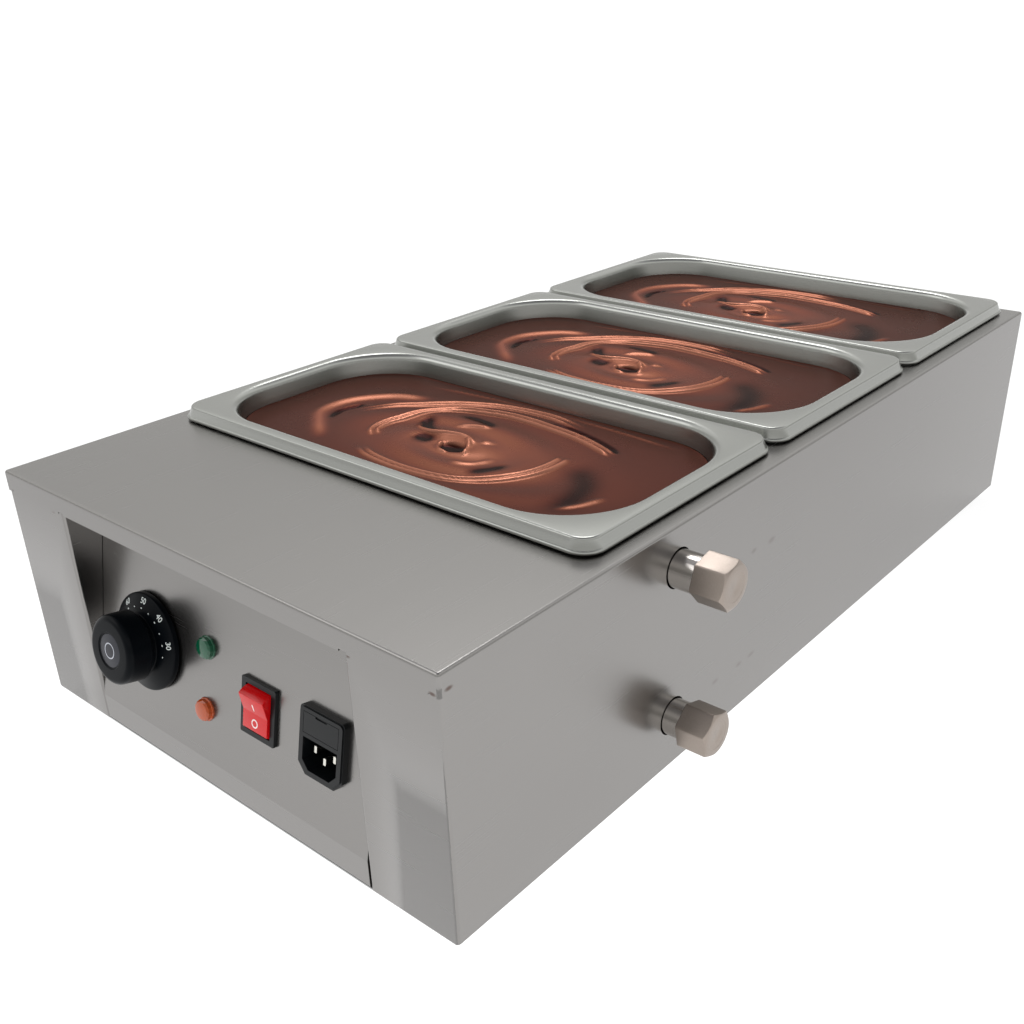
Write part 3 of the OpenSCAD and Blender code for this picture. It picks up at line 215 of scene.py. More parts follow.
def loft(rings: Array, first: Array | None = None, last: Array | None = None) -> Skin:
    """Makes a closed skin over a stack of rings.

    Each point is joined to the next point of its ring and to the same point of the next ring. Both
    ends close in a fan round a pole. In the flat map, u is the length along the ring and v the
    length across the rings, in metres.

    Args:
        rings: an array of rings, points and coordinates.
        first: the pole before the first ring, or its mean where none is given.
        last: the pole after the last ring, or its mean where none is given.

    Returns:
        The skin, with its faces outwards.
    """
    count, sides = rings.shape[:2]
    poles = [
        rings[row].mean(0) if pole is None else np.asarray(pole, float)
        for row, pole in ((0, first), (-1, last))
    ]
    index = np.arange(count * sides).reshape(count, sides)
    after = np.roll(index, -1, 1)
    quads = np.stack([index[:-1], after[:-1], after[1:], index[1:]], -1).reshape(-1, 4)
    closed = np.concatenate([rings, rings[:, :1]], 1)
    step = np.linalg.norm(np.diff(closed, axis=1), axis=2).mean(0)
    u = np.concatenate([[0.0], np.cumsum(step)])[None, :] * MM * np.ones((count, 1))
    rise = np.linalg.norm(np.diff(rings, axis=0), axis=2).mean(1)
    v = np.concatenate([[0.0], np.cumsum(rise)])[:, None] * MM * np.ones((1, sides + 1))
    run = np.stack([u, v], -1)
    corners = np.stack([run[:-1, :-1], run[:-1, 1:], run[1:, 1:], run[1:, :-1]], 2)
    fans, fan_runs = [], []
    for end, row, way in ((0, 0, -1), (1, count - 1, 1)):
        reach = np.linalg.norm(rings[row] - poles[end], axis=1).mean() * MM
        near, far = (run[row, :-1], run[row, 1:])[::way]
        pole = np.full(sides, count * sides + end)
        fans.append(np.stack([*(index[row], after[row])[::way], pole], -1))
        middle = np.stack([(near[:, 0] + far[:, 0]) / 2, near[:, 1] + way * reach], -1)
        fan_runs.append(np.stack([near, far, middle], 1))
    points = np.vstack([rings.reshape(-1, 3), poles])
    return Skin(points, [quads, *fans], [corners.reshape(-1, 4, 2), *fan_runs]).outward()


def circle(sides: int) -> Array:
    """Gives the points of a unit circle, which starts on the x axis."""
    a = np.linspace(0, 2 * np.pi, sides, endpoint=False)
    return np.stack([np.cos(a), np.sin(a)], -1)


def lathe(profile: Array, sides: int = 96) -> Skin:
    """Turns a profile about the local z axis: a point is (r cos a, r sin a, z).

    Args:
        profile: radius and height of each point, from one pole to the other.
        sides: how many steps go round.

    Returns:
        The closed skin.
    """
    profile = np.asarray(profile, float)
    first, last = (np.array([0.0, 0.0, profile[k, 1]]) for k in (0, -1))
    kept = profile[profile[:, 0] > 1e-6]
    flat = kept[:, None, :1] * circle(sides)[None]
    height = np.broadcast_to(kept[:, None, 1:], (*flat.shape[:2], 1))
    return loft(np.concatenate([flat, height], 2), first, last)


def hoop(section: Array, sides: int) -> Skin:
    """Carries a closed section about the local z axis, into a band that is open in the middle.

    Args:
        section: radius and height of each point.
        sides: how many steps go round.

    Returns:
        The closed skin.
    """
    section = np.asarray(section, float)
    flat = section[:, None, :1] * circle(sides)[None]
    height = np.broadcast_to(section[:, None, 1:], (*flat.shape[:2], 1))
    index = np.arange(len(section) * sides).reshape(-1, sides)
    up = np.roll(index, -1, 0)
    quads = [index, np.roll(index, -1, 1), np.roll(up, -1, 1), up]
    quads = np.stack(quads, -1).reshape(-1, 4)
    runs = np.stack([quads % sides, quads // sides], -1) * MM
    points = np.concatenate([flat, height], 2).reshape(-1, 3)
    return Skin(points, [quads], [runs]).outward()


# The most of a leg that a rounded corner takes
LEG_SHARE = 0.45


def softened(line: Array, cut: float | Array, steps: int = 4, closed: bool = False) -> Array:
    """Rounds the corners of a line of plane points.

    Each corner P is replaced by the curve (1-t)^2 A + 2t(1-t) P + t^2 B, where A and B lie on the
    two legs at the cut's distance from P, or at LEG_SHARE of a leg that is too short.

    Args:
        line: the points, each with two coordinates.
        cut: the distance taken off at the corners, one for all or one for each point.
        steps: how many steps each corner gets.
        closed: whether the line's end joins its start.

    Returns:
        The points of the rounded line.
    """
    line = np.asarray(line, float)
    cuts = np.broadcast_to(np.asarray(cut, float), (len(line),))[:, None]
    ends = []
    for way in (1, -1):
        leg = np.roll(line, way, 0) - line
        length = np.linalg.norm(leg, axis=1, keepdims=True)
        ends.append(line + leg / np.maximum(length, 1e-9) * np.minimum(cuts, LEG_SHARE * length))
    a, b = ends
    t = np.linspace(0, 1, steps + 1)[None, :, None]
    curves = (1 - t) ** 2 * a[:, None] + 2 * t * (1 - t) * line[:, None] + t**2 * b[:, None]
    if closed:
        return curves.reshape(-1, 2)
    return np.vstack([line[:1], curves[1:-1].reshape(-1, 2), line[-1:]])


def rounded_rings(stations: Array, corner_steps: int = 14, side_steps: int = 4) -> Array:
    """Makes rings in the shape of rounded rectangles.

    A ring runs along four quarter circles of its own radius about the corners of the rectangle
    that is smaller by that radius on each side, joined by straight runs with points of their own.

    Args:
        stations: half length in x, half length in y, corner radius and height of each ring.
        corner_steps: steps in each quarter circle.
        side_steps: steps in each straight run.

    Returns:
        The array of rings, points and coordinates.
    """
    hx, hy, r, z = (stations[:, k][:, None, None] for k in range(4))
    quarter = np.linspace(0, np.pi / 2, corner_steps + 1)[None]
    quarter = np.arange(4)[:, None] * np.pi / 2 + quarter
    sx, sy = np.array([1, -1, -1, 1.0])[:, None], np.array([1, 1, -1, -1.0])[:, None]
    arc = np.stack([sx * (hx - r) + r * np.cos(quarter), sy * (hy - r) + r * np.sin(quarter)], -1)
    share = np.linspace(0, 1, side_steps + 1)[1:-1][None, None, :, None]
    run = arc[:, :, -1:, :] * (1 - share) + np.roll(arc, -1, 1)[:, :, :1, :] * share
    ring = np.concatenate([arc, run], 2).reshape(len(stations), -1, 2)
    return np.concatenate([ring, np.broadcast_to(z, (*ring.shape[:2], 1))], 2)


def bar(outline: Array, low: float, high: float, ease: float) -> Skin:
    """Carries a closed plane outline along z, with both ends eased by a small slope.

    Args:
        outline: the points of the outline.
        low: the height of its lower end.
        high: the height of its upper end.
        ease: how far the slope reaches in from each end and each side.

    Returns:
        The closed skin.
    """
    middle = outline.mean(0)
    slope = ease / np.linalg.norm(outline - middle, axis=1).max() * np.array([1, 0.3, 0])
    rise = ease * np.array([0, 0.3, 1])
    shrink = 1 - np.concatenate([slope, slope[::-1]])
    levels = np.concatenate([low + rise, high - rise[::-1]])
    flat = middle + (outline - middle)[None] * shrink[:, None, None]
    height = np.broadcast_to(levels[:, None, None], (*flat.shape[:2], 1))
    return loft(np.concatenate([flat, height], 2))


def mesh_of(name: str, skin: Skin, place: Place, crease: float) -> Mesh:
    """Makes a mesh in metres from a skin.

    Args:
        name: the mesh's name.
        skin: the surface, in its local frame.
        place: that frame.
        crease: the angle in degrees from which an edge between two faces stays sharp.

    Returns:
        The mesh, with the flat map in its layer "run".
    """
    mesh = bpy.data.meshes.new(name)
    faces = [row for part in skin.faces for row in part.tolist()]
    mesh.from_pydata((place.put(skin.points) * MM).tolist(), [], faces)
    runs = np.concatenate([run.reshape(-1, 2) for run in skin.runs])
    mesh.uv_layers.new(name="run").data.foreach_set("uv", runs.astype(np.float32).ravel())
    mesh.shade_smooth()
    mesh.set_sharp_from_angle(angle=math.radians(crease))
    return mesh


def settle(mesh: Mesh, finish: "Finish", body: str, nodes: tuple[str, ...] = ()) -> Thing:
    """Puts a finished mesh into the scene as a piece.

    Args:
        mesh: the mesh, in place, in metres.
        finish: what the piece is made of.
        body: the CAD body that it rides on.
        nodes: the CAD nodes that it stands for.

    Returns:
        The piece's object.
    """
    thing = bpy.data.objects.new(mesh.name, mesh)
    bpy.context.scene.collection.objects.link(thing)
    mesh.materials.append(finish.material())
    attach(thing, body)
    if nodes:
        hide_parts(*nodes)
    LOG.info("piece %s: %d faces, on %s", mesh.name, len(mesh.polygons), body)
    return thing


# The height of a digit as a share of the font's size
DIGIT_SHARE = 0.7


def lettering(words: list[tuple[str, Place]], height: float, thick: float) -> Skin:
    """Makes flat printed characters.

    Args:
        words: each text with the place of its middle, x along the text, z out of the surface.
        height: the height of a digit, in millimetres.
        thick: the thickness of the print, in millimetres.

    Returns:
        One skin with all the texts.
    """
    skins = []
    for text, place in words:
        curve = bpy.data.curves.new("print", "FONT")
        curve.body, curve.size = text, height / DIGIT_SHARE
        curve.align_x, curve.align_y = "CENTER", "CENTER"
        curve.extrude = thick / 2
        holder = bpy.data.objects.new("print", curve)
        bpy.context.scene.collection.objects.link(holder)
        solid = holder.evaluated_get(bpy.context.evaluated_depsgraph_get()).to_mesh()
        points = np.zeros(len(solid.vertices) * 3, np.float32)
        solid.vertices.foreach_get("co", points)
        faces = [np.array([list(p.vertices)]) for p in solid.polygons]
        runs = [np.zeros((1, part.shape[1], 2)) for part in faces]
        skins.append(Skin(place.put(points.reshape(-1, 3).astype(float)), faces, runs))
        bpy.data.objects.remove(holder)
        bpy.data.curves.remove(curve)
    return joined(skins)


# Finishes


class Grain(Enum):
    """Which way the brush or tool ran over a metal."""

    SHEET = "lengthwise on the deck and sides, across on the front"
    ACROSS = "across the object on every face"
    RUN = "along the piece's own edge, by its flat map"


_MADE: dict[str, Material] = {}


@dataclass(frozen=True)
class Finish:
    """What a surface is made of. Each kind of finish has its own patterns."""

    name: str
    slot: str
    colour: Hex

    def sockets(self, tree: Tree, place: Socket) -> dict:
        """Wires the patterns of this finish. Each kind says what it wires.

        Args:
            tree: the material's tree.
            place: the point in object coordinates, in metres.

        Returns:
            What each of the shader's inputs gets.
        """
        return {"Base Color": linear(self.colour)}

    def material(self) -> Material:
        """Gives this finish's material, made once.

        Returns:
            The material.
        """
        if self.name not in _MADE:
            made = bpy.data.materials.new(self.name)
            made.use_nodes = True
            made.diffuse_color = linear(self.colour)
            tree = made.node_tree
            tree.nodes.clear()
            place = add(tree, "TexCoord").outputs["Object"]
            shader = add(tree, "BsdfPrincipled", self.sockets(tree, place))
            add(tree, "OutputMaterial", {"Surface": shader.outputs["BSDF"]})
            _MADE[self.name] = made
        return _MADE[self.name]


def sized(place: Socket, size: float, detail: float = 2.0) -> dict:
    """Gives the inputs of a pattern whose features have a real size, in millimetres."""
    return {"Vector": place, "Scale": 1 / (size * MM), "Detail": detail}


def varied(tree: Tree, pattern: Socket, middle: float, swing: float) -> Socket:
    """Carries a pattern of 0 to 1 over to the range from middle - swing to middle + swing."""
    scaled = {0: pattern, 1: 2 * swing, 2: middle - swing}
    return add(tree, "Math", scaled, operation="MULTIPLY_ADD").outputs[0]


def tinted(tree: Tree, colour: Hex, *swings: tuple[Socket, float]) -> Socket:
    """Multiplies a plain colour by a tone around 1.

    Args:
        tree: the material's tree.
        colour: the plain colour.
        swings: patterns of 0 to 1, each with how far it moves the tone up and down.

    Returns:
        The varied colour.
    """
    (pattern, swing), *others = swings
    tone = varied(tree, pattern, 1.0, swing)
    for pattern, swing in others:
        parts = {0: tone, 1: varied(tree, pattern, 0.0, swing)}
        tone = add(tree, "Math", parts, operation="ADD").outputs[0]
    parts = {0: 1.0, 6: linear(colour), 7: tone}
    return add(tree, "Mix", parts, data_type="RGBA", blend_type="MULTIPLY").outputs[2]


@dataclass(frozen=True)
class Mark:
    """A stain or scuff: its middle and reaches in millimetres, how dark it is, and its colour."""

    middle: Triple
    reach: Triple
    depth: float
    colour: Hex = "#4a342c"

    def stain(self, tree: Tree, place: Socket, colour: Socket) -> Socket:
        """Mixes this mark over a colour: it fades from its middle to an ellipsoid's surface.

        Args:
            tree: the material's tree.
            place: the point in object coordinates, in metres.
            colour: the colour below.

        Returns:
            The colour with the mark.
        """
        off = {0: place, 1: tuple(c * MM for c in self.middle)}
        away = add(tree, "VectorMath", off, operation="SUBTRACT").outputs[0]
        shares = {0: away, 1: tuple(1 / (r * MM) for r in self.reach)}
        away = add(tree, "VectorMath", shares, operation="MULTIPLY").outputs[0]
        away = add(tree, "VectorMath", {0: away}, operation="LENGTH").outputs["Value"]
        fade = {"Value": away, "From Min": 1.0, "From Max": 0.35}
        fade |= {"To Min": 0.0, "To Max": self.depth}
        there = add(tree, "MapRange", fade).outputs["Result"]
        mixed = {0: there, 6: colour, 7: linear(self.colour)}
        return add(tree, "Mix", mixed, data_type="RGBA").outputs[2]


@dataclass(frozen=True)
class BrushedSteel(Finish):
    """Stainless sheet drawn under an abrasive belt.

    The belt leaves long fine lines, so highlights spread across them and the tone varies in faint
    streaks. Real lines are about 0.1 mm apart, which doesn't show, so they are 0.9 mm apart here.
    """

    rough: float = 0.27
    grain: Grain = Grain.SHEET
    line_gap: float = 0.9
    line_length: float = 90.0
    streak: float = 0.02
    cloud: float = 0.03
    cloud_size: float = 120.0
    relief: float = 0.003
    groove_share: float = 0.4
    uneven: float = 0.01
    front_from: float = 0.7
    marks: tuple[Mark, ...] = ()

    def _grain_vector(self, tree: Tree, place: Socket) -> Socket:
        """Scales coordinates so that one unit is a line gap across and a line length along.

        Args:
            tree: the material's tree.
            place: the point in object coordinates, in metres.

        Returns:
            The coordinates for the streaks.
        """
        fine, long = 1 / (self.line_gap * MM), 1 / (self.line_length * MM)
        scales = [(long, fine, fine), (fine, long, fine)]
        if self.grain is Grain.RUN:
            place, scales = add(tree, "UVMap", uv_map="run").outputs["UV"], [(long, fine, 1.0)]
        across, *along = (
            add(tree, "Mapping", {"Vector": place, "Scale": scale}).outputs["Vector"]
            for scale in scales
        )
        if self.grain is not Grain.SHEET:
            return across
        normal = add(tree, "TexCoord").outputs["Normal"]
        facing = add(tree, "SeparateXYZ", {0: normal}).outputs["Y"]
        front = add(tree, "Math", {0: facing}, operation="ABSOLUTE").outputs[0]
        limit = {0: front, 1: self.front_from}
        front = add(tree, "Math", limit, operation="GREATER_THAN").outputs[0]
        return add(tree, "Mix", {0: front, 4: along[0], 5: across}, data_type="VECTOR").outputs[1]

    def sockets(self, tree: Tree, place: Socket) -> dict:
        """Wires streaks, a slow change of tone, marks, roughness and relief across the lines."""
        lines = self._grain_vector(tree, place)
        grain = {"Vector": lines, "Scale": 1.0, "Detail": 3.0, "Roughness": 0.6}
        streaks = add(tree, "TexNoise", grain).outputs["Fac"]
        clouds = add(tree, "TexNoise", sized(place, self.cloud_size)).outputs["Fac"]
        colour = tinted(tree, self.colour, (streaks, self.streak), (clouds, self.cloud))
        for mark in self.marks:
            colour = mark.stain(tree, place, colour)
        groove = self.line_gap * MM * self.groove_share
        bump = {"Height": streaks, "Strength": self.relief, "Distance": groove}
        return {
            "Base Color": colour,
            "Roughness": varied(tree, streaks, self.rough, self.uneven),
            "Normal": add(tree, "Bump", bump).outputs["Normal"],
            "Metallic": 1.0,
        }


@dataclass(frozen=True)
class PlainMetal(Finish):
    """Cast, drawn or plated metal with no direction: faint cloudy wear and fine pitting."""

    rough: float = 0.3
    uneven: float = 0.05
    wear: float = 0.12
    wear_size: float = 9.0
    pit: float = 1.2
    pit_depth: float = 0.15
    pit_reach: float = 0.1
    speckle: float = 0.04

    def sockets(self, tree: Tree, place: Socket) -> dict:
        """Wires the wear into colour and roughness, and the pits into relief and tone."""
        clouds = add(tree, "TexNoise", sized(place, self.wear_size, 3.0)).outputs["Fac"]
        pits = add(tree, "TexNoise", sized(place, self.pit)).outputs["Fac"]
        bump = {"Height": pits, "Strength": self.pit_depth, "Distance": self.pit_reach * MM}
        return {
            "Base Color": tinted(tree, self.colour, (clouds, self.wear), (pits, self.speckle)),
            "Roughness": varied(tree, clouds, self.rough, self.uneven),
            "Normal": add(tree, "Bump", bump).outputs["Normal"],
            "Metallic": 1.0,
        }


@dataclass(frozen=True)
class Moulded(Finish):
    """Plastic or rubber from a mould: an even colour, a fine grain and slightly uneven gloss."""

    rough: float = 0.35
    grain_size: float = 0.6
    grain_depth: float = 0.04
    grain_strength: float = 0.3
    uneven: float = 0.12
    uneven_size: float = 12.0
    gloss: float = 0.5

    def sockets(self, tree: Tree, place: Socket) -> dict:
        """Wires the mould's grain into the relief and its slow change into gloss and tone."""
        grain = add(tree, "TexNoise", sized(place, self.grain_size)).outputs["Fac"]
        clouds = add(tree, "TexNoise", sized(place, self.uneven_size)).outputs["Fac"]
        depth = self.grain_depth * MM
        bump = {"Height": grain, "Strength": self.grain_strength, "Distance": depth}
        return {
            "Base Color": tinted(tree, self.colour, (clouds, self.uneven)),
            "Roughness": varied(tree, clouds, self.rough, self.uneven / 3),
            "Normal": add(tree, "Bump", bump).outputs["Normal"],
            "Specular IOR Level": self.gloss,
        }


@dataclass(frozen=True)
class PaintedGlowFloor(Finish):
    """A matt white floor with a painted glow: its emission stands in for light, so it shows hardly
    a shadow.
    """

    glow: float = 0.8
    peak: float = 1.2
    near: float = 0.1
    far: float = 1.0
    centre: Triple = (0.45, -0.45, 0.0)

    def sockets(self, tree: Tree, place: Socket) -> dict:
        """Sets a matt white with a painted glow, strongest as a painted pool of light by the
        object's near corner.
        """
        # Painted glow: emission strongest in a painted pool of light by the object's near corner,
        # fading to an even glow
        spots = {0: place, 1: self.centre}
        away = add(tree, "VectorMath", spots, operation="DISTANCE").outputs["Value"]
        fall = {"Value": away, "From Min": self.near, "From Max": self.far}
        fall |= {"To Min": self.peak, "To Max": self.glow}
        lamps = add(tree, "MapRange", fall, interpolation_type="SMOOTHSTEP").outputs["Result"]
        return {
            "Base Color": linear(self.colour),
            "Roughness": 1.0,
            "Specular IOR Level": 0.0,
            "Emission Color": linear("#ffffff"),
            "Emission Strength": lamps,
        }


@dataclass(frozen=True)
class MeltedChocolate(Finish):
    """Milk chocolate just above its melting point: glossy, with painted light: a pale brown painted
    on crests as highlight and a deep brown painted in hollows as shade.

    Real chocolate isn't metallic. The metallic share and the brown tint only take the white out of
    its highlights, which the photograph shows as a warm brown.
    """

    # The brown at rest and of the painted shade; the finish's own colour is the pale brown of the
    # painted highlight
    deep: Hex = "#2a0d06"
    rough: float = 0.28
    uneven: float = 0.04
    uneven_size: float = 28.0
    gloss: float = 0.15
    metallic: float = 0.6
    sheen: Hex = "#8a5a46"

    def sockets(self, tree: Tree, place: Socket) -> dict:
        """Mixes the two browns by the fold attribute, which holds the painted light, and wires a
        slow unevenness of gloss.
        """
        fold = add(tree, "Attribute", attribute_name="fold").outputs["Fac"]
        clouds = add(tree, "TexNoise", sized(place, self.uneven_size, 3.0)).outputs["Fac"]
        # Painted light: the fold attribute mixes painted shade and painted highlight into the base
        # colour
        browns = {0: fold, 6: linear(self.deep), 7: linear(self.colour)}
        return {
            "Base Color": add(tree, "Mix", browns, data_type="RGBA").outputs[2],
            "Roughness": varied(tree, clouds, self.rough, self.uneven),
            "Specular IOR Level": self.gloss,
            "Metallic": self.metallic,
            "Specular Tint": linear(self.sheen),
        }


# Weld discolouration at the corners of the front, and scuffs round the two pipes
CASE_MARKS = (
    Mark((117.0, -327.5, 142.6), (2.4, 2.0, 1.3), 0.9),
    Mark((-125.0, -327.5, 142.6), (2.2, 2.0, 1.2), 0.5),
    Mark((169.0, -327.5, 145.4), (2.6, 2.0, 1.2), 0.75),
    Mark((173.0, -322.0, 147.0), (2.0, 3.0, 1.4), 0.75),
    Mark((173.0, -57.0, 109.0), (2.0, 5.0, 2.5), 0.22),
    Mark((173.0, -77.0, 110.0), (2.0, 4.0, 2.0), 0.22),
    Mark((173.0, -71.0, 39.0), (2.0, 5.0, 2.0), 0.2),
    Mark((173.0, -85.0, 39.0), (2.0, 4.0, 2.0), 0.2),
    Mark((173.0, -111.0, 40.5), (2.0, 4.0, 2.0), 0.2),
)
ACROSS = Grain.ACROSS
# Cold-rolled stainless, belt-brushed: a satin grey that smears reflections but keeps their place
CASE = BrushedSteel("brushed_stainless_sheet", "case_steel", "#878583", marks=CASE_MARKS)
PANEL_STEEL = BrushedSteel("brushed_stainless_panel", "case_steel", "#878583", grain=ACROSS)
# Mill finish, as rolled: duller and less directed than the show faces
BASE = BrushedSteel("mill_finish_base_sheet", "base_steel", "#a8a8a8", 0.42, ACROSS)
TANK = BrushedSteel("mill_finish_tank_sheet", "tank_steel", "#adaeb0", 0.36, ACROSS)
# Deep-drawn and satin-polished: brighter, with the polish running round the pan
PAN = BrushedSteel(
    "deep_drawn_satin_pan", "pan_steel", "#979894", 0.25, Grain.RUN, line_gap=0.8, streak=0.04
)
# Drawn and polished tube: narrow bright lines along its length
FITTING = BrushedSteel(
    "polished_tube_steel", "fitting_steel", "#bdb8b3", 0.17, ACROSS,
    line_gap=0.7, line_length=40, streak=0.1, relief=0.05,
)
# Cast and machined cap: warm grey with a speckled skin that blurs the light
CAP = PlainMetal(
    "machined_cast_cap", "fitting_steel", "#948a82",
    rough=0.38, wear=0.05, pit=0.7, pit_depth=0.4, speckle=0.1,
)
# Plated screws and nuts: small even sparks of light
ZINC = PlainMetal("bright_zinc_plate", "zinc_steel", "#b4b6ba")
# Element tube that was hot: dark, blotched and nearly without shine
SHEATH = PlainMetal("heat_darkened_sheath", "element_sheath", "#5c5a57", rough=0.5, wear=0.3)
# Turned brass, drawn copper and plated pins: clean metal with its own tint and a tight shine
BRASS = PlainMetal("machined_brass", "plain_brass", "#c9a45c", rough=0.26)
COPPER = PlainMetal("drawn_copper", "copper", "#c27a5c")
NICKEL = PlainMetal("nickel_plated_pins", "nickel_pins", "#d2d0c8", rough=0.2, wear=0.06)
# The knob's inlay: dark satin metal that turns lighter at a slant, with a polished ring
DISC = PlainMetal("dark_satin_disc", "knob_disc", "#3a3b40", rough=0.34, wear=0.08)
DISC_RING = PlainMetal("polished_disc_ring", "knob_disc", "#aeb0b8", rough=0.2, wear=0.05)
# Rubbers: dull, with wide weak highlights
FOOT = Moulded("moulded_foot_rubber", "foot_rubber", "#1b1b1b", rough=0.75, grain_depth=0.1)
SEAL = Moulded("moulded_black_rubber", "black_rubber", "#191919", rough=0.7)
SILICONE = Moulded("red_silicone_rubber", "red_silicone", "#b4452f", rough=0.5)
# Pressed phenolic: near black, with one soft streak of light along the grip
KNOB = Moulded(
    "knob_phenolic", "knob_plastic", "#06090d", rough=0.3, grain_depth=0.02, gloss=0.06
)
# Pad-printed ink: flat and matt
PRINT = Moulded("white_print", "knob_plastic", "#dfe6e4", rough=0.5)
RED_PRINT = Moulded("white_switch_print", "red_plastic", "#f0e4e2", rough=0.45)
# Moulded nylon: satin, black on the switch and the inlet, cream on the terminal block
BLACK = Moulded("satin_black_nylon", "black_plastic", "#0a0d0f", rough=0.36, gloss=0.25)
WHITE = Moulded("natural_nylon", "white_plastic", "#e6e4da", rough=0.45)
# Polished moulds: clear-edged highlights on the rocker and on the lenses' facets
RED = Moulded(
    "red_polycarbonate", "red_plastic", "#c4060c",
    rough=0.22, grain_depth=0.01, uneven=0.04, gloss=0.35,
)
GREEN, ORANGE = (
    Moulded(f"{hue}_clear_lens", f"{hue}_lens", tone, rough=0.12, grain_depth=0.01, gloss=0.6)
    for hue, tone in (("green", "#014a30"), ("orange", "#a8430a"))
)
# Glass, seen only inside its drawer: pale with a sharp shine
FUSE = Moulded("fuse_glass_tube", "fuse_glass", "#dfe6e6", rough=0.05, grain_depth=0.0)
# Matt white floor with a painted glow that stands in for light: no shine and hardly a shadow
SWEEP = PaintedGlowFloor("floor_with_painted_glow", "case_steel", "#8c8c8c")
# Stirred in the pan: painted shade makes the hollows deep brown and painted highlight makes the
# crests pale
CHOCOLATE = MeltedChocolate("melted_milk_chocolate", "chocolate", "#b87c66")

BY_SLOT: dict[str, Finish] = {
    finish.slot: finish
    for finish in (
        CASE, BASE, TANK, PAN, FITTING, ZINC, SHEATH, BRASS, COPPER, NICKEL, DISC, FOOT, SEAL,
        SILICONE, KNOB, BLACK, RED, WHITE, GREEN, ORANGE, FUSE, CHOCOLATE,
    )
}
# Nodes whose grain differs from their slot's usual one
BY_NODE: dict[str, Finish] = {"control_panel": PANEL_STEEL, "rear_panel": PANEL_STEEL}


# Pieces


@dataclass
class Carcass:
    """The CAD solids that show as they are: sheets, tank, fixings and the parts inside."""

    def dress(self) -> None:
        """Gives every CAD node the finish of its slot, or its own."""
        for sub in frame["record"]["subparts"]:
            node = frame["nodes"][sub["node"]]
            finish = BY_NODE.get(sub["node"], BY_SLOT[sub["material_slot"]])
            node.data.materials.clear()
            node.data.materials.append(finish.material())
        LOG.info("dressed %d CAD nodes", len(frame["nodes"]))


